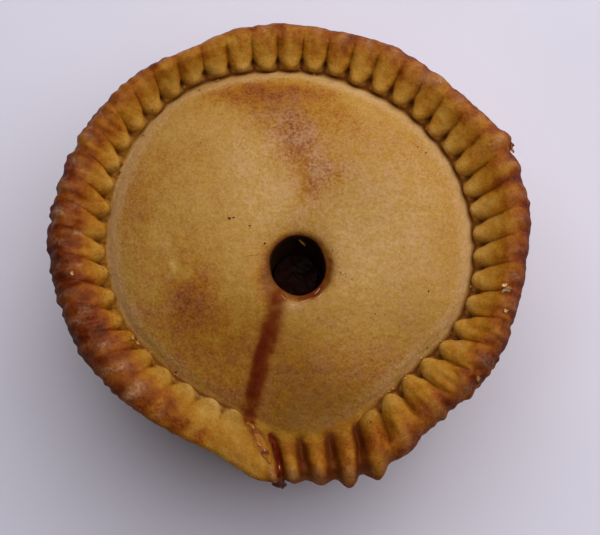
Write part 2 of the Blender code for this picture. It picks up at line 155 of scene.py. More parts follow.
# Patches on the lid: x, y, half length, half width, turn in degrees, change of the baking.
LID_PATCHES = (
    # the browned back, and the band that leads from it to the vent
    (-3, 34.8, 16, 4.8, -2, 0.27), (14.5, 32, 6, 4, -40, -0.12), (-9.5, 34.2, 8, 5, 10, 0.18),
    (11.5, 28.8, 6.5, 4.5, -38, 0.22), (-4.1, 28, 8, 7, 0, 0.10), (0, 26.5, 6.5, 6, 10, 0.26),
    (2.3, 26, 4, 4, 0, 0.05), (5, 26, 9, 5, -20, 0.08), (0.5, 19.8, 4.5, 4.2, -45, 0.24),
    (3.5, 16, 5, 7, -20, 0.13), (8, 15, 5.5, 4.5, -10, 0.26), (4.6, 11.3, 2, 2.6, 0, 0.20),
    (3, 8, 4, 3.5, 0, 0.10), (4.5, 7, 4, 4, 0, 0.10),
    # paler places on both sides of that band
    (-9, 19, 5, 9, 20, -0.10), (-3, 9, 6, 3, 0, -0.08), (-14, 30, 4, 3, 30, -0.06),
    (-25, 26, 9, 6, 45, -0.08), (-10, 2, 8, 6, 0, -0.05), (20, 12, 8, 7, 0, -0.05),
    (14, -2, 7, 9, 0, -0.10), (28, 5, 6, 14, 0, -0.04),
    # the right side
    (34, 0, 5, 16, 0, 0.10), (23, 19, 12, 11, 40, 0.17),
    # the left side, with its blisters
    (-31.5, 4.5, 12, 3.4, 104, 0.12), (-28, 18, 9, 4, 60, 0.04), (-25, -3, 8, 5, 80, 0.08),
    (-21.5, -11.5, 7.5, 4.8, 62, 0.30), (-19.5, -17, 5, 4, 20, 0.10), (-17, -18, 8, 6, 0, 0.08),
    (-29, 1.3, 1.6, 3, 20, -0.16), (-26.5, -0.7, 1.3, 2.2, 20, -0.14),
    (-25.2, -5.8, 0.7, 2.4, 15, -0.30), (-21.9, -7.5, 1.5, 1.3, 0, -0.18),
    # the front, and both sides of the run of gravy
    (5, -36.5, 20, 7, 4, 0.13), (-2, -30, 12, 7, 0, 0.08), (24, -26, 10, 6, 40, 0.06),
    (-29, -27, 4, 3, -45, 0.12), (-6, -19.5, 15, 9.5, 0, 0.06), (-10.5, -24, 4, 8, -16, 0.07),
    (2, -26.5, 5, 3.5, 0, 0.07), (7, -27.5, 9, 5, 0, 0.06), (-5.8, -8.5, 1.6, 2.6, 0, 0.28),
    (-4.6, -13, 1.8, 3, 0, 0.30),
)
# Crust dulled by the juice it took up, with painted shade where the lid's front slopes away from the
# light: x, y, half length, half width, turn, amount.
LID_SOAK_AND_SHADE = (
    (5, -37, 13, 7, 0, 0.8), (14, -33, 9, 5, 30, 0.3), (-3, -41, 7, 4, 0, 0.55),
    (27, -20, 9, 7, -40, 0.3), (-6, -19.5, 16, 10, 0, 0.54), (1, -28, 8, 7, 0, 0.34),
    (13.5, 6, 13, 13, 0, 0.36), (-4, 28, 8, 7, 0, 0.2),
)
BRIM_SOAK_AND_SHADE = 0.55                                 # the same round the vent's mouth: juice, and painted shade where its edge rolls into the vent
# How much painted highlight the backs of the pinches get, where they catch the light.
LIT = {0: 0.35, 30: 0.6, 60: 0.7, 90: 0.65, 120: 0.5, 140: 0.45, 165: 0.7, 190: 0.7, 212: 0.8,
       228: 0.4, 245: 0.2, 258: 0.2, 272: 0.8, 300: 0.5, 325: 0.6}
# Painted pinkish highlights on the rim, where its lumps catch the light.
RIM_PAINTED_HIGHLIGHTS = (
    (-44, -14.6, 1.6, 0.8, 20, 0.7), (-39.9, -22.6, 2, 1, 30, 0.8), (-36.2, -27.2, 2, 1.1, 35, 0.9),
    (-32.2, -31.5, 2.2, 1.3, 40, 1), (-46.5, 3, 1.8, 0.6, 0, 0.6), (-47.2, 9, 1.6, 0.6, -8, 0.6),
    (-46.2, -4.5, 1.6, 0.6, 5, 0.6), (-45, 16.5, 1.8, 0.7, -20, 0.5), (38.5, -13.2, 0.6, 1.8, 20, 0.7),
    (36, -21, 1, 1.6, 30, 0.6), (43, 22, 2, 1.4, 30, 0.4), (30, 38, 3, 1.4, 50, 0.5),
)
# Painted pinkish sheen on the lid: x, y, half length, half width, turn, amount.
LID_PAINTED_SHEEN = (
    (0.6, -14.6, 2.8, 1, 0, 1), (5.8, -12, 1.8, 0.8, 40, 0.6), (-1.6, -12.4, 1.5, 0.7, -40, 0.5),
    (26, 8, 6, 12, 0, 0.3), (-0.5, 25, 7, 7, 10, 0.65), (0.5, 19, 5, 4, -45, 0.5),
    (8, 14.6, 7, 5, 0, 0.5), (-8, 16, 5, 11, 20, 0.9), (18, 2, 14, 20, 10, 0.6),
    (-3, 8, 8, 6, 0, 0.6), (26, 14, 8, 8, 0, 0.4), (-14, -20, 9, 9, 0, -0.28),
)
LID_PAINTED_HAZE = 0.34                                  # the painted sheen all over the lid

# ---- stains where gravy ran: x, y, half width, how dark ---------------------------------------
# Over the lid from the vent to the rim's seam, and the darkest part of that.
STREAK = ((-2.1, -11.6, 2.6, 0.40), (-2.9, -13.4, 3.1, 0.46), (-3.7, -17.2, 3.3, 0.48),
          (-4.7, -21.4, 3.2, 0.52), (-5.8, -24.9, 3.1, 0.52), (-6.8, -28.8, 2.9, 0.52),
          (-7.9, -32.8, 2.8, 0.50), (-8.8, -36.0, 2.7, 0.48), (-8.6, -38.6, 2.1, 0.48))
CORE_RUN = ((-3.3, -16.0, 1.2, 0.50), (-4.0, -18.4, 1.5, 0.60), (-5.0, -21.0, 1.8, 0.68),
            (-6.0, -24.2, 2.1, 0.74), (-7.0, -28.0, 2.0, 0.74), (-8.1, -31.4, 1.8, 0.70),
            (-8.5, -34.6, 1.6, 0.60))
# Under the glaze on the loose end, and in the seam.
GLAZE_RUN = ((-8.7, -38.7, 1.5, 0.40), (-7.2, -41.2, 2.0, 0.34), (-5.6, -44.4, 2.3, 0.32),
             (-4.2, -47.4, 1.4, 0.24))
SEAM_RUN = ((-4.2, -41.4, 0.8, 0.8), (-3.8, -42.5, 1.1, 0.8), (-2.8, -44.8, 1.1, 0.8),
            (-2.3, -47.0, 1.0, 0.8), (-1.8, -49.4, 0.9, 0.8))
RUNS = (STREAK, CORE_RUN, GLAZE_RUN, SEAM_RUN)
VENT_SOAK_AND_SHADE = 1.9                             # so high that the vent's wall takes its colour of soaked crust with painted shade, with no unevenness

# ---- sides of the vent, in degrees --------------------------------------------------------------
WORN_SIDE = 292                                  # where its brim is worn down most
WET_SIDE = 318                                   # where most gravy soaked into its brim
DARK_SIDE = 70                                   # where the lid beside it is browned most

# ---- gravy that stands on the crust: x, y, half width, depth ------------------------------------
GLAZE = ((-8.7, -38.9, 0.4, 0.02), (-7.7, -40.4, 0.8, 0.05), (-6.5, -42.6, 1.1, 0.06),
         (-5.3, -44.8, 1.2, 0.07), (-4.5, -46.6, 0.9, 0.06), (-3.8, -48.0, 0.4, 0.03))
SEAM_FILL = ((-4.2, -41.6, 0.30, 0.05), (-3.7, -42.8, 0.55, 0.12), (-2.8, -44.9, 0.55, 0.15),
             (-2.3, -47.0, 0.50, 0.14), (-1.9, -49.2, 0.45, 0.12), (-2.1, -50.6, 0.5, 0.1))
# Painted highlights on the vent's brim, and on the glaze and in the seam where the gravy catches the
# light.
BRIM_HIGHLIGHTS = (((6.6, -10.9, 0.05, 0.03), (6.1, -11.6, 0.09, 0.06), (5.4, -12.3, 0.05, 0.03)),
            ((7.2, -12.2, 0.05, 0.03), (6.5, -12.9, 0.10, 0.06), (5.7, -13.4, 0.05, 0.03)),
            ((4.2, -13.5, 0.05, 0.03), (3.4, -13.9, 0.09, 0.05), (2.5, -14.1, 0.05, 0.03)),
            ((1.9, -14.9, 0.06, 0.03), (1.0, -15.0, 0.17, 0.08), (0.1, -14.9, 0.06, 0.03)),
            ((-0.6, -13.6, 0.05, 0.03), (-1.2, -13.1, 0.08, 0.04), (-1.7, -12.5, 0.05, 0.03)))
HIGHLIGHT_LINES = (((-7.8, -39.8, 0.06, 0.03), (-7.5, -40.2, 0.18, 0.07), (-7.3, -40.6, 0.05, 0.03)),
             ((-7.0, -41.4, 0.04, 0.03), (-6.9, -41.7, 0.12, 0.05), (-6.8, -42.0, 0.04, 0.03)),
             ((-6.4, -43.5, 0.05, 0.03), (-6.1, -44.0, 0.17, 0.06), (-5.8, -44.4, 0.05, 0.03)),
             ((-5.3, -44.7, 0.04, 0.03), (-5.1, -45.1, 0.12, 0.06), (-4.9, -45.5, 0.04, 0.03)),
             ((-2.7, -45.4, 0.04, 0.03), (-2.5, -46.1, 0.10, 0.06), (-2.3, -46.7, 0.04, 0.03)),
             ((-2.1, -48.0, 0.04, 0.03), (-2.0, -48.6, 0.10, 0.06), (-1.9, -49.1, 0.04, 0.03)))
# Pale lumps on the vent's back wall, a painted glint: x and y from the vent's middle, how deep, and how
# big.
WALL_GLINT = ((0.8, 5.5, 3.3, 0.26), (1.1, 5.4, 4.1, 0.44), (1.45, 5.3, 4.9, 0.5), (1.8, 5.2, 5.8, 0.36))
# The burnt drip at the seam's end: its middle, and its lumps with their places from there and sizes.
DRIP = (-2.2, -51.4, 45.4)
DRIP_LUMPS = (((0, 0, 0), 1.25), ((0.9, -0.3, -0.2), 0.85), ((-0.7, 0.2, 0.1), 0.8),
              ((0.1, -0.4, -0.9), 0.8), ((1.4, -0.5, -0.4), 0.45))

# ---- loose and lifted bits: x, y, size in millimetres, tone from 0 pale to 1 burnt ---------------
FLAKES = ((46.7, -10.5, 0.95, 0.02), (46.3, -9.6, 0.5, 0.05), (46.3, -15.1, 0.5, 0.06),
          (-16.1, 38.9, 0.45, 0.10), (-20.1, 36.4, 0.5, 0.16), (48.9, 22.8, 0.9, 0.50),
          (49.2, 24.0, 0.6, 0.55), (40.2, -29.6, 0.6, 0.42), (-46.8, -6.8, 0.4, 0.10),
          (-37.2, 19.4, 0.5, 0.62), (-37.6, 17.5, 0.5, 0.60), (-33.6, -20.4, 0.45, 0.30),
          (-32.6, -21.2, 0.5, 0.26), (-30.9, -22.8, 0.4, 0.30), (-29.8, -23.5, 0.35, 0.30),
          (10.7, -7.3, 0.24, 0.12), (11.4, -8.0, 0.3, 0.10), (12.3, -8.8, 0.24, 0.12))
SPECKS = ((-12.8, 4.0, 0.30, 0.92), (-11.9, 4.2, 0.22, 0.95), (-8.4, 2.3, 0.26, 0.72),
          (-5.2, -1.5, 0.22, 0.90), (9.3, -3.0, 0.16, 0.9), (11.0, -7.9, 0.14, 0.9),
          (12.0, -8.1, 0.14, 0.9), (13.4, -9.4, 0.14, 0.85), (18.4, -16.4, 0.18, 0.95),
          (-19.3, 21.9, 0.17, 0.9), (-32.6, 26.0, 0.30, 0.88), (28.2, 22.1, 0.26, 0.62),
          (30.0, 20.9, 0.26, 0.62), (29.9, -10.9, 0.22, 0.95), (29.7, -22.5, 0.26, 1.0),
          (-24.2, -27.9, 0.32, 0.90), (-2.2, -25.2, 0.15, 0.85), (17.3, -39.0, 0.28, 0.78),
          (-27.4, -35.6, 0.34, 0.72), (-26.9, -35.2, 0.2, 0.74))
# The short cracked line left of the vent, laid as a dark film of painted shade: x, y, half width, depth.
CRACK_SHADE_RUN = ((-8.9, -4.5, 0.03, 0.02), (-8.2, -4.2, 0.07, 0.03), (-7.3, -4.3, 0.08, 0.03),
         (-6.5, -3.9, 0.06, 0.03), (-5.8, -4.0, 0.03, 0.02))

# ---- how the small bits are made -----------------------------------------------------------------
FLAKE_TILT = 0.1                                 # how far a flake is lifted off, in parts of its size
FLAKE_LENGTH = 1.4                               # how long it is for its width
LOOSE_CRUMBS, SMALL_SPECKS = 46, 60
FILM_ROOT = 0.10 * MM                            # how far a film's underside is sunk into the crust
RUN_STEPS = 7                                    # rows of a film between two points of its line


def around(table, angle):
    """Read a table of values by angle as one smooth closed curve."""
    stops = sorted(table)
    angle %= 360
    after = bisect.bisect_right(stops, angle)
    places = [after - 2, after - 1, after, after + 1]
    count = len(stops)
    angles = [stops[i % count] + 360 * (i // count) for i in places]
    values = [table[stops[i % count]] for i in places]
    width = angles[2] - angles[1]
    t = (angle - angles[1]) / width
    start = (values[2] - values[0]) / (angles[2] - angles[0]) * width
    end = (values[3] - values[1]) / (angles[3] - angles[1]) * width
    rise = values[2] - values[1]
    return values[1] + t * (start + t * (3 * rise - 2 * start - end + t * (start + end - 2 * rise)))


def ease(value, low, high):
    """Rise smoothly from 0 at low to 1 at high."""
    t = min(max((value - low) / (high - low), 0.0), 1.0)
    return t * t * (3 - 2 * t)


def lumps(place, size, seed):
    """Uneven swell between about -1 and 1 whose bumps are about `size` across."""
    return noise.noise(Vector((place[0] / size + seed, place[1] / size, place[2] / size)))


def linear(code):
    """Turn a colour code such as C89A5C into the linear colour that shaders work in."""
    shares = [int(code[i:i + 2], 16) / 255 for i in (0, 2, 4)]
    return tuple(c / 12.92 if c <= 0.04045 else ((c + 0.055) / 1.055) ** 2.4 for c in shares)


def bell(value, middle, width):
    """1 at the middle, falling smoothly to nearly 0 at twice the width from it."""
    return math.exp(-((value - middle) / width) ** 2)


def facing(turn, degrees):
    """1 where an angle in radians points to the given degrees, 0 where it points away."""
    return 0.5 + 0.5 * math.cos(turn - math.radians(degrees))


def covered(patches, x, y):
    """What soft oval patches add up to at the place x, y; each has its full amount in its middle."""
    total = 0.0
    for middle_x, middle_y, length, width, degrees, amount in patches:
        turn = math.radians(degrees)
        dx, dy = x - middle_x, y - middle_y
        along = (dx * math.cos(turn) + dy * math.sin(turn)) / length
        across = (dy * math.cos(turn) - dx * math.sin(turn)) / width
        total += amount * math.exp(-(along * along + across * across))
    return total


def from_vent(x, y):
    """How far outside the vent's wall the place x, y is, in millimetres, and its angle in radians."""
    dx, dy = x - VENT_PLACE.x / MM, y - VENT_PLACE.y / MM
    return math.hypot(dx, dy) - VENT_RADIUS / MM, math.atan2(dy, dx)


# ================================================================================ crust form

class Pinch:
    """One finger pinch of the rim: where it lies and how it differs from the next one."""

    def __init__(self, middle, dice):
        self.middle = middle
        self.lift = dice.uniform(-0.35, 0.35) * MM
        self.reach = dice.uniform(-0.3, 0.3) * MM
        self.proud = dice.uniform(-0.15, 0.25) * MM
        self.lean = dice.uniform(-0.12, 0.12)
        for angle, extra in PROUD.items():
            if abs(angle - middle % 360) < HALF_PINCH:
                self.proud += extra * MM


def make_pinches(seed):
    dice = random.Random(seed)
    middles = [start + step * k for start, step, count in PINCH_RUNS for k in range(count)]
    return [Pinch(middle, dice) for middle in middles]


def creases(pinches):
    """Angles of the creases between the pinches, at the finger tips, rising all the way round."""
    middles = []
    for pinch in pinches:
        middle = pinch.middle % 360
        while middles and middle < middles[-1]:
            middle += 360
        middles.append(middle)
    closed = [middles[-1] - 360] + middles + [middles[0] + 360]
    return [(a + b) / 2 for a, b in zip(closed, closed[1:])]


def columns(pinches, count):
    """Columns of the crust: pinch, place across it from -1 to 1, inner and outer angle."""
    edges = creases(pinches)
    outer_edges = [edge - around(SLANT, edge) for edge in edges]
    found = []
    for k, pinch in enumerate(pinches):
        for step in range(count):
            even = 2 * step / count - 1
            across = 0.5 * even + 0.5 * math.sin(math.pi * even / 2)
            share = (across + 1) / 2
            inner = edges[k] + (edges[k + 1] - edges[k]) * share
            outer = outer_edges[k] + (outer_edges[k + 1] - outer_edges[k]) * share
            found.append((pinch, across, inner, outer))
    return found


def fullness(across, fat, lean):
    """Height of a pinch across its width, 1 on its back and 0 in the creases beside it."""
    place = min(abs(across - lean * (1 - across * across)), 1.0)
    return (1 - place ** (2 + 0.5 * fat)) ** (2.2 - 1.7 * fat)


def fingertip(across, narrowing, lean):
    """How far the end of a pinch reaches across its width: 1 in its middle and 0 beside the gaps."""
    place = abs(across - lean * (1 - across * across)) * narrowing
    return max(1 - place ** 2.1, 0) ** 0.85


def lid_edge(angle):
    return (around(TIPS, angle) - 0.3) * MM


def lid_height(x, y):
    """Height of the lid's dome at a point of the plan."""
    angle = math.degrees(math.atan2(y, x))
    edge = around(DOME_EDGE, angle) * MM
    share = min(math.hypot(x, y) / (around(DOME_RADIUS, angle) * MM), 1.0)
    dome = (1 - share ** 2.3) ** (1 / around(DOME_ROUND, angle))
    swell = 0.35 * MM * lumps((x, y, 0), 17 * MM, 3.1) * (1 - share ** 6)
    vent = math.hypot(x - VENT_PLACE.x, y - VENT_PLACE.y) / VENT_RADIUS
    dip = 0.9 * MM * bell(vent, 1, 0.55)
    return edge + (LID_HEIGHT - edge) * dome + swell - dip


def groove_height(angle):
    """Height of the bottom of the groove between the lid and the finger tips."""
    turn = math.radians(angle)
    edge = lid_edge(angle)
    return lid_height(math.cos(turn) * edge, math.sin(turn) * edge) - around(GROOVE_DROP, angle) * MM


def rim_section(column):
    """Radius, height and angle of each station up the wall, over the rim and into the groove."""
    pinch, across, inner, outer = column
    lip = around(OUTLINE, outer) * MM
    draw = 0.4 + 0.6 * lip / RIM_RADIUS
    foot = BASE_RADIUS * draw
    tip = around(TIPS, inner) * MM
    groove = groove_height(inner)
    free = around(TIP_FREE, inner)
    sharp = around(SHARPNESS, inner)
    full = fullness(across, around(FATNESS, inner), pinch.lean)
    soft = 0.5 + 0.5 * math.cos(math.pi * across)
    end = fingertip(across, around(NARROWING, inner), pinch.lean)
    tip += end * free * pinch.reach
    lip += soft * pinch.proud - (1 - soft) * around(LIP_DEPTH, inner) * MM
    crest = CREST_HEIGHT + soft * pinch.lift
    nose = around(NOSE_HEIGHT, inner) * MM
    rise = crest - groove - nose
    reach = lip - tip
    crest_drop = (1 - full) * around(CREST_DEPTH, inner) * MM
    outer_drop = (1 - soft) * around(CREST_DEPTH, inner) * (1 - 0.6 * free) * MM
    tip_drop = (1 - full) * around(TIP_DEPTH, inner) * MM
    slope_drop = crest_drop + (tip_drop - crest_drop) * around(RUN_ON, inner)
    fall = (1 - end) * free
    back = fall * around(GAP_REACH, inner) * MM
    stations = (
        # the base and the wall
        (foot * 0.6, 0, 0),
        *((foot + out * MM, height * MM, 0) for out, height in WALL),
        (foot + (4.0 - 1.0 * sharp) * MM, 38 * MM, 0),
        # the roll under the lip and the lip
        (lip - (2.4 + 1.2 * sharp) * MM, (41.0 + 0.8 * sharp) * MM, 0),
        (lip - (0.6 + 1.4 * sharp) * MM, (42.8 + 1.6 * sharp) * MM, 0),
        (lip, LIP_HEIGHT + 2.2 * MM * sharp, 0),
        # the crest
        (lip - (0.08 - 0.05 * sharp) * reach, crest - (1.9 - 0.9 * sharp) * MM - 0.3 * outer_drop, 0.1),
        (lip - (0.22 - 0.06 * sharp) * reach, crest - 0.3 * MM - 0.6 * outer_drop, 0.25),
        (lip - 0.38 * reach, crest - crest_drop, 0.45),
        # the slope to the finger tips
        (tip + reach * 0.42 + 0.4 * slope_drop, groove + nose + 0.68 * rise - slope_drop, 0.65),
        (tip + reach * 0.22 + 0.3 * back,
         groove + nose + 0.32 * rise - (0.55 - 0.2 * free) * tip_drop - 0.4 * free * slope_drop, 0.85),
        # the finger tips, round their ends and down into the groove
        (tip + (1.5 - 1.1 * free) * MM + back,
         groove + nose + 0.4 * MM - 0.95 * fall * nose - 0.36 * (1 - free) * tip_drop, 1),
        (tip + (0.9 - 0.9 * free) * MM + back,
         groove + nose - 0.6 * MM * free - 0.7 * fall * nose - 0.20 * (1 - free) * tip_drop, 1),
        (tip + (0.5 - 0.25 * free) * MM + 0.6 * back,
         groove + 0.35 * nose - 0.25 * fall * nose - 0.07 * (1 - free) * tip_drop, 1),
        (tip + 0.1 * MM * (1 - free) + 0.15 * back, groove, 1),
    )
    tips = [end] * 4
    slope = [(soft + full) / 2, full, full, (full + end) / 2]
    fulls = [soft] * (len(stations) - len(slope) - len(tips)) + slope + tips
    return [(radius, height, outer + (inner - outer) * turned, fill)
            for (radius, height, turned), fill in zip(stations, fulls)]


# Rings between one station of the section and the next, and the numbers of the main stations. The
# lid goes on from the groove's station to the mouth's, and the vent's wall on from there.
RINGS_BETWEEN = (1, 1, 1, 3, 9, 9, 6, 5, 4, 5, 6, 6, 8, 8, 7, 4, 4, 3)
WALL_STATION, LIP_STATION, CREST_STATION, TIP_STATION, GROOVE_STATION = 6, 9, 12, 15, 18
MOUTH_STATION = GROOVE_STATION + 1
VENT_SHARE = 0.2                                 # of the way along the lid's rows, the vent's part


def smooth_rings(stations):
    """Rings of points through the stations of every column, on one smooth curve per column."""
    gaps = np.linalg.norm(np.diff(stations[..., :2], axis=1), axis=2) ** 0.5 + 1e-4
    times = np.concatenate([np.zeros((len(stations), 1)), np.cumsum(gaps, axis=1)], axis=1)
    last = stations.shape[1] - 1
    rings, marks = [], []
    for span, count in enumerate(RINGS_BETWEEN):
        before, after = max(span - 1, 0), min(span + 2, last)
        width = (times[:, span + 1] - times[:, span])[:, None]
        start_time = (times[:, span + 1] - times[:, before])[:, None]
        end_time = (times[:, after] - times[:, span])[:, None]
        start = (stations[:, span + 1] - stations[:, before]) / start_time
        end = (stations[:, after] - stations[:, span]) / end_time
        rise = stations[:, span + 1] - stations[:, span]
        for k in range(count):
            t = k / count
            bend = t * (start * width) + t * t * (3 * rise - 2 * start * width - end * width)
            bend += t ** 3 * (start * width + end * width - 2 * rise)
            rings.append(stations[:, span] + bend)
            marks.append(span + t)
    rings.append(stations[:, last])
    marks.append(last)
    return rings, marks


def lid_point(angle, ring):
    """A point of the lid: ring 1 is its edge and VENT_SHARE the mouth of the vent."""
    edge = lid_edge(angle)
    direction = Vector((math.cos(math.radians(angle)), math.sin(math.radians(angle))))
    mouth = mouth_radius(angle)
    place = direction * (mouth + (edge - mouth) * (ring - VENT_SHARE) / (1 - VENT_SHARE))
    place += VENT_PLACE * (1 - ease(ring, VENT_SHARE, 0.95))
    drop = around(GROOVE_DROP, angle) * MM * ease(ring, 0.94, 1.01)
    drop += brim_drop(angle, (place - VENT_PLACE).length - mouth)
    return place.x, place.y, lid_height(place.x, place.y) - drop


def mouth_radius(angle):
    """How far the vent's wall is from its middle at its mouth, which is a little long for its width."""
    turn = math.radians(angle)
    uneven = 0.05 * lumps((math.cos(turn), math.sin(turn), 0), 0.9, 8.2)
    return VENT_RADIUS * (1.05 + uneven - 0.035 * math.cos(2 * turn))


def brim_drop(angle, away):
    """How far the vent's brim is worn down at a distance from its mouth, most at the front right."""
    worn = facing(math.radians(angle), WORN_SIDE)
    return (0.25 + 1.25 * worn) * MM * (1 - ease(away, 0, (0.9 + 2.2 * worn) * MM)) ** 1.4


def vent_point(angle, deep):
    """A point of the vent's wall: deep runs from 0 at its mouth to 1 at its bottom."""
    direction = Vector((math.cos(math.radians(angle)), math.sin(math.radians(angle))))
    mouth = mouth_radius(angle)
    brim = VENT_PLACE + direction * mouth
    top = lid_height(brim.x, brim.y) - brim_drop(angle, 0)
    height = top + (VENT_BOTTOM - top) * deep ** 1.5
    narrow = 0.3 * MM * bell(top - height, 1.6 * MM, 1.2 * MM) + VENT_TAPER * deep ** 4
    place = VENT_PLACE + direction * (mouth + (VENT_RADIUS - mouth) * ease(deep, 0.1, 0.6) - narrow)
    return place.x, place.y, height


# ================================================================================ crust mesh

class Skin:
    """Rings of vertices joined into one closed skin, with what each vertex knows of its place."""

    def __init__(self):
        self.places = []
        self.marks = []       # station along the section; past GROOVE_STATION it is on the lid
        self.angles = []
        self.fulls = []
        self.faces = []
        self.last_ring = None

    def add_ring(self, points, mark, angles, fulls):
        """Add a ring of as many points as the last one, or of half as many."""
        start = len(self.places)
        self.places += points
        self.marks += [mark] * len(points)
        self.angles += list(angles)
        self.fulls += list(fulls)
        ring = range(start, len(self.places))
        if self.last_ring is not None:
            self.join(self.last_ring, ring)
        self.last_ring = ring

    def join(self, lower, upper):
        count, ratio = len(lower), len(lower) / len(upper)
        if ratio == 0.5:
            self.join_wider(lower, upper)
            return
        for k in range(len(upper)):
            here, there = upper[k], upper[(k + 1) % len(upper)]
            if ratio == 1:
                self.faces.append((lower[k], lower[(k + 1) % count], there, here))
                continue
            first, middle, final = lower[2 * k], lower[2 * k + 1], lower[(2 * k + 2) % count]
            self.faces.append((first, middle, here))
            self.faces.append((middle, there, here))
            self.faces.append((middle, final, there))

    def join_wider(self, lower, upper):
        """Join a ring to one above it that has twice as many points."""
        count = len(lower)
        for k in range(count):
            here, there = lower[k], lower[(k + 1) % count]
            first, middle, final = upper[2 * k], upper[2 * k + 1], upper[(2 * k + 2) % len(upper)]
            self.faces.append((here, middle, first))
            self.faces.append((here, there, middle))
            self.faces.append((there, final, middle))

    def close_with(self, ring, flip):
        """Close an end with one flat face."""
        self.faces.append(tuple(reversed(ring)) if flip else tuple(ring))


def build_skin(sizes):
    """The crust from its base up the wall, over the pinched rim, across the lid and down the vent."""
    every = columns(make_pinches(sizes.seed), sizes.columns_in_pinch)
    stations = np.array([rim_section(column) for column in every])
    rings, marks = smooth_rings(stations)
    skin = Skin()
    for ring, mark in zip(rings, marks):
        rows = ring if mark > LIP_STATION - 2 else ring[::2]
        points = []
        for radius, height, angle, _ in rows:
            turn = math.radians(angle)
            x, y = math.cos(turn), math.sin(turn)
            swell = lumps((x * radius, y * radius, height), 14 * MM, 0.7)
            radius += 0.45 * MM * swell * ease(height, MM, 12 * MM)
            points.append((x * radius, y * radius, height))
        skin.add_ring(points, mark, rows[:, 2], rows[:, 3])
        if mark == 0:
            base = skin.last_ring
    angles = [column[2] for column in every]
    outer, inner = sizes.lid_rings, sizes.lid_rings * 2 // 3
    total = outer + inner
    for step in range(1, total + 1):
        lid_angles = angles[::2] if step <= outer else angles[::4]
        points = [lid_point(angle, 1 - (1 - VENT_SHARE) * step / total) for angle in lid_angles]
        skin.add_ring(points, GROOVE_STATION + step / total, lid_angles, [1] * len(points))
    for step in range(1, sizes.vent_rings + 1):
        deep = step / sizes.vent_rings
        points = [vent_point(angle, deep) for angle in lid_angles]
        skin.add_ring(points, MOUTH_STATION + deep, lid_angles, [1] * len(points))
    skin.close_with(base, True)
    skin.close_with(skin.last_ring, False)
    return skin


def rim_share(mark):
    """1 on the rim's outer roll, fading to 0 at the finger tips and on the wall."""
    return ease(mark, LIP_STATION - 2, LIP_STATION) * (1 - ease(mark, CREST_STATION + 0.5, TIP_STATION))


# Swells of the dough: size and seed, then how far they stand out, in parts of a millimetre, on the
# rim, more of it where the rim is torn, on the wall and everywhere.
SWELLS = ((5.0, 4.4, 0.16, 0.8, 0.10, 0.02), (2.2, 9.1, 0.09, 0.3, 0.07, 0.03),
          (1.1, 2.7, 0.04, 0.0, 0.03, 0.018))


def relief(place, mark, angle, sizes):
    """How far the fine lumps of the dough stand out from the smooth form."""
    rim = rim_share(mark)
    lid = ease(mark, GROOVE_STATION - 0.2, GROOVE_STATION + 0.3)
    lid *= 1 - ease(mark, MOUTH_STATION, MOUTH_STATION + 0.1)
    wall = 1 - ease(mark, WALL_STATION, WALL_STATION + 2)
    torn = around(RAGGED, angle)
    rise = 0.0
    for size, seed, on_rim, on_torn, on_wall, anywhere in SWELLS:
        share = (on_rim + on_torn * torn) * rim + on_wall * wall + anywhere
        rise += lumps(place, size * MM, seed) * share
    furrow = lumps((math.radians(angle) * RIM_RADIUS, mark * 0.5 * MM, 0), 1.5 * MM, 3.9)
    rise += rim * (0.10 + 1.7 * torn) * furrow
    rise += lid * 0.05 * lumps(place, 4 * MM, 6.6)
    rise += wall * 0.6 * lumps((place[0], place[1], place[2] * 1.6), 15 * MM, 1.3)
    rise += bell(mark, LIP_STATION, 0.7) * torn * 1.6 * lumps(place, 1.5 * MM, 5.9)
    return rise * sizes.relief


def lid_share(x, y, angle):
    """How far out on the lid the place x, y is, from 0 in its middle to 1 at its edge."""
    return min(math.hypot(x, y) / (lid_edge(angle) / MM), 1)


def lid_baking(x, y, angle):
    """How far the lid is baked: more to the left and the front, and round the vent's mouth."""
    level = LID_BAKE + LID_LEFT_BAKE * ease(-x, -6, 36) + LID_FRONT_BAKE * ease(-y, 2, 34)
    level += covered(LID_PATCHES, x, y)
    away, turn = from_vent(x, y)
    away = max(away, 0)
    behind = facing(turn, DARK_SIDE)
    level += (0.20 + 0.12 * behind) * bell(away, 0, 1.1)
    level += 0.20 * (1 - behind) * math.exp(-(away / 2.5) ** 4)
    level += (0.02 + 0.16 * behind) * bell(away, 0, 4.0)
    pale = (LID_EDGE_BAKE - 0.14 * bell(angle % 360, 178, 40)) * (1 - bell(angle % 360, 268, 42))
    return level + pale * ease(lid_share(x, y, angle), 0.915, 0.965)


def baking(place, mark, angle, full):
    """How far the crust is baked at a vertex, from 0 for pale dough to 1 for burnt."""
    if mark > GROOVE_STATION:
        return lid_baking(place[0] / MM, place[1] / MM, angle)
    lip = around(LIP_BAKE, angle)
    if mark < LIP_STATION:
        wall = WALL_BAKE + 0.16 * lumps(place, 18 * MM, 7.7) + 0.10 * ease(place[2], 34 * MM, 42 * MM)
        return wall + (lip - wall) * ease(mark, WALL_STATION + 0.4, WALL_STATION + 2.4)
    tip = around(TIP_BAKE, angle)
    shift = around(BROWN_SHIFT, angle)
    level = lip + (around(CREST_BAKE, angle) - lip) * ease(mark, LIP_STATION, CREST_STATION)
    browned = ease(mark, CREST_STATION - 0.7 + shift, TIP_STATION - 0.9 + 0.5 * shift)
    level += (tip + 0.12 - level) * browned
    level += (tip - level) * ease(mark, TIP_STATION - 1.3, TIP_STATION)
    streaky = lumps((math.radians(angle) * RIM_RADIUS, mark * 0.9 * MM, 0), 2.6 * MM, 7.1)
    level += 0.16 * streaky * rim_share(mark)
    edge = (0.14 - 0.3 * around(RAGGED, angle)) * (1 - around(SHARPNESS, angle))
    # its last term darkens the creases a little: painted shade
    return level + edge * bell(mark, LIP_STATION - 0.2, 0.8) + 0.07 * (1 - full)


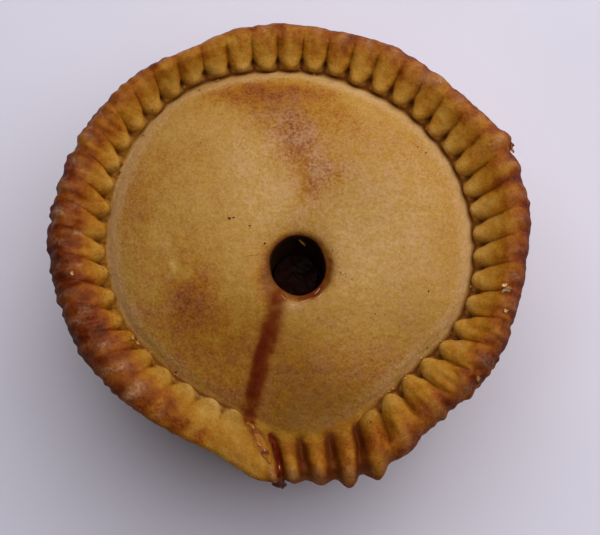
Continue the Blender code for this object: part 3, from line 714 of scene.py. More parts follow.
def crease_shade_depth(mark, angle, full):
    """How deep in the creases a vertex lies, for their painted shade: 1 in the dark gaps between the
    finger tips.
    """
    if mark > GROOVE_STATION:
        # painted shade at the vent's mouth and down its wall
        return 0.75 * ease(mark, MOUTH_STATION - 0.028, MOUTH_STATION)
    if mark < LIP_STATION - 2:
        return 0.0
    low = 1 - full
    ridge = 1 - around(TIP_FREE, angle)
    if ridge > 0.5:
        return ridge_crease_shade(mark, angle % 360, low)
    run = around(RUN_ON, angle)
    # painted shade in the creases up the slope, in the gaps between the finger tips and on the floor of
    # the groove round the lid, less of it at the left
    crease_shade = ease(low, 0.5, 1.0) * ease(mark, 11.6 + 1.8 * (1 - 2 * run), 14.0) * (0.3 + 0.9 * run)
    gap = ease(low, 0.35, 0.9) * ease(mark, TIP_STATION - 0.9, TIP_STATION + 0.2) * (0.5 + run)
    floor = ease(mark, GROOVE_STATION - 1.4, GROOVE_STATION - 0.2)
    floor *= 1 - 0.8 * bell(angle % 360, 176, 36)
    return max(crease_shade, min(gap, 1), floor) * (1 - 2 * ridge)


def ridge_crease_shade(mark, angle, low):
    """The same painted shade between the ridges that run into the lid; none at the tip of the rim's loose
    end.
    """
    along = ease(mark, LIP_STATION - 0.4, LIP_STATION + 1.4)
    along *= 1 - ease(mark, TIP_STATION - 0.2, GROOVE_STATION - 0.6)
    along *= 1 - (1 - ease(angle, 263.5, 266.5)) * (1 - ease(mark, 12.4, 13.8))
    return ease(low, 0.14, 0.66) * along * ease(around(CREST_DEPTH, angle), 0.8, 1.8)


def run_darkness(line, x, y):
    """How dark a run of gravy is at the place x, y: darkest on its line, fading to its sides."""
    darkest = 0.0
    for (ax, ay, a_wide, a_dark), (bx, by, b_wide, b_dark) in zip(line, line[1:]):
        along = ((x - ax) * (bx - ax) + (y - ay) * (by - ay)) / ((bx - ax) ** 2 + (by - ay) ** 2)
        t = min(max(along, 0), 1)
        far = math.hypot(x - ax - (bx - ax) * t, y - ay - (by - ay) * t)
        dark = a_dark + (b_dark - a_dark) * t
        wide = a_wide + (b_wide - a_wide) * t
        darkest = max(darkest, dark * (1 - ease(far, 0.15 * wide, 1.2 * wide)))
    return darkest


def sauce_on(place, mark):
    """How soaked with gravy a vertex is: by the runs and on the vent's brim; down the vent's wall it goes
    past the top, to soaked crust with painted shade.
    """
    x, y = place[0] / MM, place[1] / MM
    runs = max(run_darkness(line, x, y) for line in RUNS)
    runs *= ease(mark, WALL_STATION + 0.6, WALL_STATION + 2.4)
    brim = 0.0
    if mark > GROOVE_STATION:
        away, turn = from_vent(x, y)
        worn = facing(turn, WORN_SIDE)
        brim = 0.12 + 0.30 * facing(turn, WET_SIDE) ** 2 + 0.10 * lumps(place, 1.6 * MM, 4.9)
        brim *= 1 - ease(away, 0.3 + 1.2 * worn, 0.9 + 2.0 * worn)
    return max(runs, brim, VENT_SOAK_AND_SHADE * ease(mark, MOUTH_STATION, MOUTH_STATION + 0.09))


def painted_sheen_on(place, mark, angle, full):
    """How much painted pinkish sheen lies on the surface, with painted highlights on the rim."""
    x, y = place[0] / MM, place[1] / MM
    if mark > GROOVE_STATION:
        # a painted pale line of sheen round the lid's edge, on a painted haze that is thinner over the
        # browned back
        edge = bell(lid_share(x, y, angle), 0.955, 0.035) * (1 - bell(angle % 360, 255, 42))
        haze = max(LID_PAINTED_HAZE - 0.28 * bell(y, 36, 6) + edge, 0)
        return min(haze + covered(LID_PAINTED_SHEEN, x, y), 1)
    painted_sheen = covered(RIM_PAINTED_HIGHLIGHTS, x, y)
    # painted highlights on the backs of the pinches
    lit = around(LIT, angle) * full ** 8 * bell(mark, LIP_STATION + 1.8, 0.8)
    painted_sheen += lit * (1 + 1.4 * lumps(place, 5 * MM, 2.2))
    # and a painted highlight along the rim's thin drawn-out edge
    painted_sheen += 0.7 * around(SHARPNESS, angle) * bell(mark, LIP_STATION + 0.2, 0.35)
    return min(max(painted_sheen, 0) * ease(mark, LIP_STATION - 0.8, LIP_STATION - 0.1), 1)


def shine_of(mark, angle):
    """How glossy the surface is: matt on the lid, the wall and the rim's very edge."""
    band = ease(mark, LIP_STATION + 0.6, LIP_STATION + 2)
    return around(SHINE, angle) * band * (1 - ease(mark, CREST_STATION + 1.2, TIP_STATION))


def soak_and_shade_on(place, mark):
    """How dull and brown the crust is round the front of the lid and the vent's mouth: juice it took up,
    and painted shade where the front slopes away from the light and the brim rolls into the vent.
    """
    if mark < CREST_STATION - 1:
        return 0.0
    x, y = place[0] / MM, place[1] / MM
    brim = 0.0
    if mark > GROOVE_STATION:
        away, turn = from_vent(x, y)
        brim = BRIM_SOAK_AND_SHADE * bell(max(away, 0), 0, 1.5 + 1.1 * facing(turn, 270))
    return min(brim + covered(LID_SOAK_AND_SHADE, x, y), 1.3)


def store(mesh, name, values):
    """Keep one number per vertex on the mesh, for its material to read."""
    layer = mesh.attributes.new(name, "FLOAT", "POINT")
    layer.data.foreach_set("value", np.array(values, np.float32))


def make_crust(sizes, colours):
    skin = build_skin(sizes)
    mesh = bpy.data.meshes.new("crust_baked")
    mesh.from_pydata(skin.places, [], skin.faces)
    mesh.shade_smooth()
    mesh.update()
    normals = np.empty(len(mesh.vertices) * 3, np.float32)
    mesh.vertex_normals.foreach_get("vector", normals)
    normals = normals.reshape(-1, 3)
    known = list(zip(skin.places, skin.marks, skin.angles, skin.fulls))
    raised = []
    for (place, mark, angle, _), normal in zip(known, normals):
        rise = relief(place, mark, angle, sizes) if place[2] > 0.5 * MM else 0
        raised.append(Vector(place) + Vector(normal) * rise)
    places = np.array(raised)
    middle = (places.min(axis=0) + places.max(axis=0)) / 2
    places[:, 0] += (CRUST_LOW.x + CRUST_HIGH.x) / 2 - middle[0]
    places[:, 1] += (CRUST_LOW.y + CRUST_HIGH.y) / 2 - middle[1]
    mesh.vertices.foreach_set("co", places.astype(np.float32).ravel())
    store(mesh, "bake", [baking(*entry) for entry in known])
    store(mesh, "crease_shade", [crease_shade_depth(mark, angle, full) for _, mark, angle, full in known])
    store(mesh, "sauce", [sauce_on(place, mark) for place, mark, _, _ in known])
    store(mesh, "painted_sheen", [painted_sheen_on(*entry) for entry in known])
    store(mesh, "shine", [shine_of(mark, angle) for _, mark, angle, _ in known])
    store(mesh, "fat", [soak_and_shade_on(place, mark) for place, mark, _, _ in known])
    mesh.materials.append(crust_material(colours))
    crust = new_piece("crust_baked", mesh)
    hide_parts("crust")
    return crust


def new_piece(name, mesh):
    """Put a mesh in the scene as a piece of the pie."""
    piece = bpy.data.objects.new(name, mesh)
    bpy.context.scene.collection.objects.link(piece)
    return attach(piece, "root")


# ================================================================================ finishes

class Finish:
    """A material and short ways to add nodes to it."""

    def __init__(self, name):
        self.material = bpy.data.materials.new(name)
        self.material.use_nodes = True
        self.tree = self.material.node_tree
        self.shader = self.tree.nodes["Principled BSDF"]
        self.place = self.add("ShaderNodeTexCoord").outputs["Object"]

    def add(self, kind, **settings):
        node = self.tree.nodes.new(kind)
        for name, value in settings.items():
            setattr(node, name, value)
        return node

    def put(self, socket, value):
        """Link a socket to another one's output, or set it to a value."""
        if isinstance(value, bpy.types.NodeSocket):
            self.tree.links.new(value, socket)
        else:
            socket.default_value = value

    def sum(self, operation, first, second=0.0, third=0.0):
        node = self.add("ShaderNodeMath", operation=operation)
        for socket, value in zip(node.inputs, (first, second, third)):
            self.put(socket, value)
        return node.outputs[0]

    def grain(self, size, detail=2.0, roughness=0.5):
        """Noise between 0 and 1 whose grains are about `size` across."""
        node = self.add("ShaderNodeTexNoise")
        self.put(node.inputs["Vector"], self.place)
        node.inputs["Scale"].default_value = 1 / size
        node.inputs["Detail"].default_value = detail
        node.inputs["Roughness"].default_value = roughness
        clear = self.add("ShaderNodeMapRange")
        clear.inputs["From Min"].default_value = 0.3
        clear.inputs["From Max"].default_value = 0.7
        self.put(clear.inputs["Value"], node.outputs["Fac"])
        return clear.outputs["Result"]

    def known(self, name):
        """A number that the mesh keeps for each vertex."""
        return self.add("ShaderNodeAttribute", attribute_name=name).outputs["Fac"]

    def uneven_tone(self, size, spread):
        """The mesh's own tone, moved up and down by noise."""
        swing = self.sum("SUBTRACT", self.grain(size), 0.5)
        return self.sum("MULTIPLY_ADD", swing, spread, self.known("tone"))

    def uneven(self, size, low, high):
        """A value that wanders between low and high from place to place."""
        return self.between(self.grain(size), 0.3, 0.7, low, high)

    def between(self, value, low, high, to_low=0.0, to_high=1.0):
        """Map a value smoothly from the range low to high onto to_low to to_high."""
        node = self.add("ShaderNodeMapRange", interpolation_type="SMOOTHSTEP")
        ends = {"From Min": low, "From Max": high, "To Min": to_low, "To Max": to_high}
        for name, number in ends.items():
            node.inputs[name].default_value = number
        self.put(node.inputs["Value"], value)
        return node.outputs["Result"]

    def mix(self, factor, first, second):
        """Mix two colours, each a setting or another node's output."""
        node = self.add("ShaderNodeMix", data_type="RGBA")
        for number, value in ((0, factor), (6, first), (7, second)):
            plain = hasattr(value, "__len__") and not isinstance(value, bpy.types.NodeSocket)
            self.put(node.inputs[number], (*value[:3], 1) if plain else value)
        return node.outputs[2]

    def ramp(self, value, stops):
        node = self.add("ShaderNodeValToRGB")
        ladder = node.color_ramp.elements
        while len(ladder) < len(stops):
            ladder.new(0.5)
        for rung, (position, colour) in zip(ladder, stops):
            rung.position = position
            rung.color = (*colour[:3], 1)
        self.put(node.inputs["Fac"], value)
        return node.outputs["Color"]

    def bump(self, height, distance):
        node = self.add("ShaderNodeBump")
        node.inputs["Distance"].default_value = distance
        self.put(node.inputs["Height"], height)
        return node.outputs["Normal"]

    def surface(self, colour, roughness, specular, normal=None):
        """Give the shader its colour, its roughness, the strength of its highlights and its relief."""
        self.put(self.shader.inputs["Base Color"], colour)
        self.put(self.shader.inputs["Roughness"], roughness)
        self.shader.inputs["Specular IOR Level"].default_value = specular
        if normal is not None:
            self.put(self.shader.inputs["Normal"], normal)
        return self.material


def baked_colours(colours, palest, straw_from, golden_from):
    """The colours of crust from its palest to burnt, with the baking level at which each one stands."""
    return ((0.0, palest), (straw_from, colours.straw), (golden_from, colours.golden),
            (0.52, colours.orange), (0.66, colours.brown), (0.80, colours.russet),
            (0.92, colours.dark), (1.0, colours.burnt))


def crust_material(colours):
    """Baked crust: browned by its baking level, with painted shade in the creases and painted sheen,
    stained where gravy ran.
    """
    finish = Finish("baked_crust")
    fine = finish.grain(0.62 * MM, 2.0, 0.6)
    small = finish.grain(1.7 * MM)
    middling = finish.grain(4.5 * MM)
    broad = finish.grain(12 * MM, 1.0)
    # the baking, uneven at every size, with speckles where the crust is matt
    level = finish.sum("MULTIPLY_ADD", middling, 0.15, finish.known("bake"))
    level = finish.sum("MULTIPLY_ADD", small, 0.13, level)
    level = finish.sum("MULTIPLY_ADD", broad, 0.08, level)
    level = finish.sum("SUBTRACT", level, 0.18)
    speckles = finish.sum("MULTIPLY", finish.grain(0.36 * MM, 1.0), 0.14)
    speckles = finish.sum("SUBTRACT", finish.sum("MULTIPLY_ADD", fine, 0.18, speckles), 0.16)
    matt = finish.sum("MULTIPLY_ADD", finish.known("shine"), -0.7, 1.0)
    level = finish.sum("MULTIPLY_ADD", speckles, matt, level)
    crust = finish.ramp(level, baked_colours(colours, colours.pale, 0.18, 0.36))
    # painted sheen in flecks, juice with painted shade where the lid's front slopes away from the light,
    # and painted shade in the creases
    flecks = finish.sum("MULTIPLY", middling, 0.4)
    flecks = finish.sum("MULTIPLY_ADD", finish.grain(0.7 * MM, 3.0, 0.65), 0.6, flecks)
    painted_sheen = finish.sum("MULTIPLY", finish.known("painted_sheen"), finish.between(flecks, 0.15, 0.95))
    crust = finish.mix(finish.sum("MULTIPLY", painted_sheen, 0.6), crust, colours.painted_sheen)
    crust = finish.mix(finish.sum("MULTIPLY", finish.known("fat"), 0.62), crust, colours.soaked)
    crust = finish.mix(finish.sum("MULTIPLY", finish.known("crease_shade"), 0.92), crust, colours.crease_shade)
    # gravy soaked in, and past the end of its scale the vent's wall: gravy-soaked crust with painted
    # shade
    uneven = finish.sum("MULTIPLY_ADD", small, 0.35, 0.62)
    uneven = finish.sum("MULTIPLY_ADD", middling, 0.4, uneven)
    soaked = finish.sum("MULTIPLY", finish.known("sauce"), uneven)
    stain = finish.ramp(soaked, (
        (0.16, colours.stain), (0.42, colours.gravy_thin), (0.74, colours.gravy),
        (0.92, colours.gravy), (1.0, colours.vent_wall_soak_shade)))
    crust = finish.mix(finish.between(soaked, 0.0, 0.52), crust, stain)
    rough = finish.sum("MULTIPLY_ADD", finish.known("shine"), -0.42, 0.68)
    rough = finish.sum("MULTIPLY_ADD", finish.sum("SUBTRACT", small, 0.5), 0.16, rough)
    normal = finish.bump(finish.sum("MULTIPLY_ADD", fine, 0.4, small), 0.10 * MM)
    finish.shader.inputs["Specular Tint"].default_value = (1.0, 0.70, 0.30, 1)
    return finish.surface(crust, rough, 0.17, normal)


def gravy_material(colours):
    """Thick brown gravy with a skin, a little uneven, darkened nearly to black with the painted shade of
    the deep vent.
    """
    finish = Finish("gravy")
    cloud = finish.grain(2.4 * MM)
    colour = finish.mix(finish.sum("MULTIPLY", cloud, 0.12), colours.shaded_deep_gravy, colours.gravy)
    rough = finish.between(cloud, 0.3, 0.7, 0.34, 0.5)
    return finish.surface(colour, rough, 0.03, finish.bump(finish.grain(1.1 * MM), 0.06 * MM))


def film_material(colours):
    """Gravy that dried to a gloss: amber where it is thin, dark where it stands."""
    finish = Finish("gravy_film")
    colour = finish.ramp(finish.uneven_tone(1.6 * MM, 0.7), (
        (0.0, colours.glaze), (0.45, colours.gravy_thin), (0.85, colours.gravy)))
    normal = finish.bump(finish.grain(1.1 * MM), 0.2 * MM)
    return finish.surface(colour, finish.uneven(1.3 * MM, 0.25, 0.45), 0.07, normal)


def highlight_material(colours):
    """Thin pale strokes of painted highlight on the gravy and the brim."""
    finish = Finish("painted_highlights")
    cloud = finish.sum("ADD", finish.grain(0.7 * MM), finish.known("tone"))
    colour = finish.mix(cloud, colours.highlight_paint, colours.painted_sheen)
    normal = finish.bump(finish.grain(0.5 * MM), 0.08 * MM)
    return finish.surface(colour, finish.uneven(1.1 * MM, 0.25, 0.45), 0.3, normal)


def bits_material(colours, name, roughness):
    """Small bits of crust, from pale flakes to burnt specks by their tone."""
    finish = Finish(name)
    colour = finish.ramp(finish.uneven_tone(0.4 * MM, 0.25),
                         baked_colours(colours, colours.flake, 0.15, 0.35))
    rough = finish.uneven(0.7 * MM, roughness - 0.12, roughness + 0.12)
    return finish.surface(colour, rough, 0.3, finish.bump(finish.grain(0.3 * MM), 0.08 * MM))


# ================================================================================ gravy

def make_gravy(colours):
    """The gravy at the bottom of the vent, lumpy on top and drawn up the wall."""
    work = bmesh.new()
    rings, count = 14, 48
    middle = Vector((VENT_PLACE.x, VENT_PLACE.y, 0))
    top = GRAVY_HIGH.z - GRAVY_SLACK
    centre = work.verts.new(middle + Vector((0, 0, top)))
    last = None
    outline = [(GRAVY_RADIUS * k / rings, None) for k in range(1, rings + 1)]
    outline += [(GRAVY_RADIUS, top - 1.5 * MM), (GRAVY_RADIUS, GRAVY_LOW.z)]
    for radius, height in outline:
        ring = []
        for step in range(count):
            turn = 2 * math.pi * step / count
            place = middle + Vector((math.cos(turn) * radius, math.sin(turn) * radius, 0))
            swell = 0.5 * lumps(place, 2.6 * MM, 5.5) + 0.2 * lumps(place, 1.2 * MM, 3.3)
            climb = GRAVY_CLIMB * (radius / GRAVY_RADIUS) ** 4
            place.z = height or top + climb + swell * MM
            ring.append(work.verts.new(place))
        for step in range(count):
            after = (step + 1) % count
            if last is None:
                work.faces.new((centre, ring[step], ring[after]))
            else:
                work.faces.new((last[step], ring[step], ring[after], last[after]))
        last = ring
    work.faces.new(last)
    bmesh.ops.recalc_face_normals(work, faces=work.faces)
    mesh = bpy.data.meshes.new("gravy_in_vent")
    work.to_mesh(mesh)
    work.free()
    mesh.shade_smooth()
    mesh.materials.append(gravy_material(colours))
    gravy = new_piece("gravy_in_vent", mesh)
    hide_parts("gravy")


class Ground:
    """The finished crust as something to lay small things on."""

    def __init__(self):
        mesh = find_piece("crust_baked").data
        corners = [vertex.co.copy() for vertex in mesh.vertices]
        self.tree = BVHTree.FromPolygons(corners, [tuple(face.vertices) for face in mesh.polygons])

    def under(self, x, y):
        """The crust's surface and normal straight below a point of the plan, given in metres."""
        place, normal, _, _ = self.tree.ray_cast(Vector((x, y, 2 * CRUST_HIGH.z)), Vector((0, 0, -1)))
        if place is None:
            place, normal, _, _ = self.tree.find_nearest(Vector((x, y, LIP_HEIGHT)))
        return place, normal


def find_piece(name):
    piece = bpy.data.objects.get(name)
    if piece is None:
        raise RuntimeError("make the piece " + name + " first")
    return piece


class Gathered:
    """Small things on the crust, gathered into one mesh, each point with a tone."""

    def __init__(self, ground):
        self.ground = ground
        self.places, self.faces, self.tones = [], [], []

    def finished(self, name, material):
        mesh = bpy.data.meshes.new(name)
        mesh.from_pydata(self.places, [], self.faces)
        mesh.shade_smooth()
        store(mesh, "tone", self.tones)
        mesh.materials.append(material)
        return new_piece(name, mesh)


class Film(Gathered):
    """Thin films that follow the crust, closed underneath; the tone is 0 for amber to 1 for dark."""

    lift = 0.0

    def add(self, rows, depths, tone):
        """Lay a film over rows of plan points: its depth at each point is given in metres."""
        start, wide = len(self.places), len(rows[0])
        for row, row_depths in zip(rows, depths):
            for top in (True, False):
                for (x, y), depth in zip(row, row_depths):
                    place, normal = self.ground.under(x, y)
                    out = (normal + Vector((0, 0, 1))).normalized()
                    self.places.append(place + out * (depth + self.lift if top else -FILM_ROOT))
                    self.tones.append(tone)
        side = wide - 1
        for k in range(len(rows) - 1):
            here = start + 2 * wide * k
            there = here + 2 * wide
            for i in range(side):
                self.faces.append((here + i, here + i + 1, there + i + 1, there + i))
                low, high = here + wide + i, there + wide + i
                self.faces.append((low, high, high + 1, low + 1))
            self.faces.append((here, there, there + wide, here + wide))
            self.faces.append((here + side, here + wide + side, there + wide + side, there + side))
        final = start + 2 * wide * (len(rows) - 1)
        top, below = list(range(wide)), list(range(wide, 2 * wide))
        self.faces.append(tuple(start + i for i in top[::-1] + below))
        self.faces.append(tuple(final + i for i in top + below[::-1]))

    def add_run(self, line, tone, seed, wide=9):
        """Lay a film along a line of x, y, half width and depth, uneven along its edges."""
        rows, depths = [], []
        stops = np.array(line)
        for k in range((len(line) - 1) * RUN_STEPS + 1):
            number = min(k / RUN_STEPS, len(line) - 1.001)
            low, share = int(number), number - int(number)
            x, y, half, depth = stops[low] * (1 - share) + stops[low + 1] * share
            tangent = stops[low + 1][:2] - stops[low][:2]
            tangent /= np.linalg.norm(tangent)
            row, row_depths = [], []
            for i in range(wide):
                across = 2 * i / (wide - 1) - 1
                reach = half * across * (1 + 0.35 * lumps((x, y, across), 1.1, seed))
                row.append(((x - tangent[1] * reach) * MM, (y + tangent[0] * reach) * MM))
                swell = 1 + 1.2 * lumps((x, y + across * half, 0), 0.8, seed + 4)
                row_depths.append(((depth + 0.07) * (1 - across ** 2) ** 0.7 * swell - 0.05) * MM)
            rows.append(row)
            depths.append(row_depths)
        self.add(rows, depths, tone)


class Bits(Gathered):
    """Small lumps and flakes; the tone is 0 for pale to 1 for burnt."""

    def __init__(self, ground, seed):
        super().__init__(ground)
        self.dice = random.Random(seed)
        ball = bmesh.new()
        bmesh.ops.create_icosphere(ball, subdivisions=2, radius=1)
        self.ball_places = [vertex.co.copy() for vertex in ball.verts]
        self.ball_faces = [tuple(vertex.index for vertex in face.verts) for face in ball.faces]
        ball.free()

    def put(self, places, faces, tones):
        start = len(self.places)
        self.places += places
        self.faces += [tuple(start + i for i in face) for face in faces]
        self.tones += tones

    def stand(self, place, normal):
        """A frame at a place of the crust, its Z out of the crust, turned any way round."""
        turn = Matrix.Rotation(self.dice.uniform(0, 2 * math.pi), 3, "Z")
        return place, normal.to_track_quat("Z", "Y").to_matrix() @ turn

    def lump(self, place, normal, size, tone, flatness=0.6):
        """A rounded, uneven crumb."""
        middle, turn = self.stand(place, normal)
        length, width = size * self.dice.uniform(0.8, 1.3), size * self.dice.uniform(0.7, 1.0)
        stretch = (length, width, size * flatness)
        seed = self.dice.uniform(0, 50)
        places = []
        for corner in self.ball_places:
            swell = 1 + 0.45 * lumps(corner, 0.9, seed)
            places.append(middle + turn @ Vector([c * r * swell for c, r in zip(corner, stretch)]))
        tones = [tone + 0.12 * lumps(corner, 0.8, seed + 9) for corner in self.ball_places]
        self.put(places, self.ball_faces, tones)

    def flake(self, place, normal, size, tone):
        """A torn, slightly curled scale of crust lying on the surface."""
        middle, turn = self.stand(place + normal * size * FLAKE_TILT, normal)
        count, rings = 14, 3
        torn = [self.dice.uniform(0.65, 1.1) for _ in range(count)]
        curl = self.dice.uniform(0.1, 0.45)
        tip = self.dice.uniform(-0.35, 0.35)
        places, tones, faces = [], [], []
        for side in (1, -1):
            places.append(middle + turn @ Vector((0, 0, side * 0.10 * size)))
            tones.append(tone)
            for ring in range(1, rings + 1):
                for step in range(count):
                    angle = 2 * math.pi * step / count
                    reach = size * ring / rings * (1 + (torn[step] - 1) * ring / rings)
                    x, y = FLAKE_LENGTH * reach * math.cos(angle), reach * math.sin(angle)
                    rise = curl * (x * x + y * y) / size + tip * x
                    thick = side * size * (0.10 if ring < rings else 0.03)
                    rough = 0.07 * size * lumps((x / size, y / size, side), 0.35, curl * 40)
                    places.append(middle + turn @ Vector((x, y, rise + thick + rough)))
                    tones.append(tone + 0.16 * (ring == rings))
        half = 1 + rings * count
        edge = 1 + (rings - 1) * count
        for step in range(count):
            after = (step + 1) % count
            for first, order in ((0, 1), (half, -1)):
                faces.append((first, first + 1 + step, first + 1 + after)[::order])
                for inner in range(first + 1, first + edge, count):
                    outer = inner + count
                    faces.append((inner + step, outer + step, outer + after, inner + after)[::order])
            faces.append((edge + step, half + edge + step, half + edge + after, edge + after))
        self.put(places, faces, tones)


def make_films(colours):
    """Gravy on the loose end and in the seam, painted highlights on it and on the brim, and the burnt
    drip.
    """
    ground = Ground()
    film = Film(ground)
    film.add_run(GLAZE, 0.16, 4.4)
    film.add_run(SEAM_FILL, 0.75, 8.1)
    wet = film.finished("gravy_film", film_material(colours))
    # the next film holds the painted highlights
    fat = Film(ground)
    for number, line in enumerate(BRIM_HIGHLIGHTS):
        fat.add_run(line, 0.9, 6.1 + number, wide=7)
    fat.lift = 0.07 * MM
    for number, line in enumerate(HIGHLIGHT_LINES):
        fat.add_run(line, 0.0, 3.7 + number, wide=7)
    pale = fat.finished("painted_highlights", highlight_material(colours))
    drip = Bits(ground, 5)
    out = Vector((0, -0.7, 0.7))
    for shift, size in DRIP_LUMPS:
        drip.lump((Vector(DRIP) + Vector(shift)) * MM, out, size * MM, 1.0, 0.85)
    burnt = drip.finished("burnt_drip", bits_material(colours, "burnt_gravy", 0.42))


def make_flakes(colours):
    """Torn scales of crust on the rim, and crumbs in the groove round the lid."""
    flakes = Bits(Ground(), 21)
    for x, y, size, tone in FLAKES:
        place, normal = flakes.ground.under(x * MM, y * MM)
        flakes.flake(place, normal, size * MM, tone)
    dice = flakes.dice
    for _ in range(LOOSE_CRUMBS):
        angle = dice.choice((dice.uniform(0, 255), dice.uniform(135, 218), dice.uniform(300, 360)))
        reach = (around(TIPS, angle) + dice.uniform(-0.5, 0.9)) * MM
        turn = math.radians(angle)
        place, normal = flakes.ground.under(reach * math.cos(turn), reach * math.sin(turn))
        flakes.lump(place, normal, dice.uniform(0.14, 0.36) * MM, dice.uniform(0.2, 0.6))
    piece = flakes.finished("pastry_flakes", bits_material(colours, "flake_crust", 0.6))


def make_specks(colours):
    """Dark specks on the lid and the rim, pale lumps of painted glint on the vent's back wall, and a dark
    film of painted shade along the short cracked line beside the vent.
    """
    ground = Ground()
    specks = Bits(ground, 33)
    for x, y, size, tone in SPECKS:
        place, normal = ground.under(x * MM, y * MM)
        specks.lump(place, normal, size * MM, tone, 0.4)
        if size > 0.2:
            place, normal = ground.under((x + size) * MM, (y + 0.4 * size) * MM)
            specks.lump(place, normal, 0.5 * size * MM, tone, 0.4)
    # pale lumps for the painted glint on the vent's back wall
    for x, y, deep, size in WALL_GLINT:
        middle = Vector((VENT_PLACE.x + x * MM, VENT_PLACE.y + y * MM, LID_HEIGHT - deep * MM))
        specks.lump(middle, Vector((-0.3, -0.95, 0)), size * MM, 0.4, 0.5)
    dice = specks.dice
    for _ in range(SMALL_SPECKS):
        turn = dice.uniform(0, 2 * math.pi)
        reach = 38 * MM * math.sqrt(dice.uniform(0.06, 1))
        place, normal = ground.under(reach * math.cos(turn), reach * math.sin(turn))
        specks.lump(place, normal, dice.uniform(0.07, 0.13) * MM, dice.uniform(0.55, 0.8), 0.4)
    piece = specks.finished("dark_specks", bits_material(colours, "specks", 0.65))
    # painted shade for the short cracked line
    crack_shade = Film(ground)
    crack_shade.add_run(CRACK_SHADE_RUN, 0.72, 3.3, wide=5)
    piece = crack_shade.finished("crack_shade_film", bits_material(colours, "crack_shade", 0.8))


# ================================================================================ stage

def make_stage(stage):
    """The pale floor, the two lights, the light of the room and the camera."""
    floor_mesh = bpy.data.meshes.new("floor")
    half = 1.5
    floor_mesh.from_pydata([(-half, -half, 0), (half, -half, 0), (half, half, 0), (-half, half, 0)],
                           [], [(0, 1, 2, 3)])
    finish = Finish("floor")
    shade = finish.mix(finish.grain(40 * MM), stage.floor, [c * 0.97 for c in stage.floor])
    floor_mesh.materials.append(finish.surface(shade, 0.7, 0.2))
    floor = bpy.data.objects.new("floor", floor_mesh)
    bpy.context.scene.collection.objects.link(floor)
    add_light("window", stage.window_power, stage.window_size, stage.window_place, stage.window_colour)
    add_light("side", stage.side_power, stage.side_size, stage.side_place, stage.side_colour)
    world = bpy.data.worlds.new("room")
    world.use_nodes = True
    ambient = world.node_tree.nodes["Background"]
    ambient.inputs["Color"].default_value = (*stage.room_colour, 1)
    ambient.inputs["Strength"].default_value = stage.room_strength
    bpy.context.scene.world = world
    bpy.context.scene.view_settings.view_transform = "Standard"
    add_camera(stage)


def add_light(name, power, size, place, colour):
    """A round light that points at the middle of the pie's base."""
    light = bpy.data.lights.new(name, "AREA")
    light.shape = "DISK"
    light.energy = power
    light.size = size
    light.color = colour
    lamp = bpy.data.objects.new(name, light)
    lamp.location = place
    lamp.rotation_euler = (-lamp.location).to_track_quat("-Z", "Y").to_euler()
    bpy.context.scene.collection.objects.link(lamp)


def add_camera(stage):
    lean = stage.camera_elevation
    forward = Vector((0, math.cos(lean), -math.sin(lean)))
    camera = bpy.data.cameras.new("camera")
    camera.lens = camera.sensor_width * stage.camera_distance / stage.view_width
    camera.clip_start = 0.01
    stand = bpy.data.objects.new("camera", camera)
    stand.location = Vector(stage.camera_aim) - forward * stage.camera_distance
    stand.rotation_euler = forward.to_track_quat("-Z", "Y").to_euler()
    bpy.context.scene.collection.objects.link(stand)
    bpy.context.scene.camera = stand


# ================================================================================ add-on

def colour_setting(name, description, code):
    return FloatVectorProperty(name=name, description=description, subtype="COLOR", size=3, min=0, max=1,
                               default=linear(code))


def length_setting(name, description, length):
    return FloatProperty(name=name, description=description, default=length, unit="LENGTH", precision=5)


def place_setting(name, description, place):
    return FloatVectorProperty(name=name, description=description, size=3, default=place,
                               subtype="TRANSLATION", unit="LENGTH")


def power_setting(name, description, watts):
    return FloatProperty(name=name, description=description, default=watts, subtype="POWER", unit="POWER")


def count_setting(name, description, count, least):
    return IntProperty(name=name, description=description, default=count, min=least)


class PieSizes(bpy.types.PropertyGroup):
    seed: count_setting("Seed", "Which set of small differences the pinches have", 47, 0)
    columns_in_pinch: count_setting("Columns in a pinch", "How finely a pinch is modelled; even", 18, 4)
    lid_rings: count_setting("Rings on the lid", "How finely the lid's outer part is modelled", 45, 6)
    vent_rings: count_setting("Rings in the vent", "How finely the vent's wall is modelled", 14, 3)
    relief: length_setting("Relief", "How far the lumps of the dough stand out", 1 * MM)


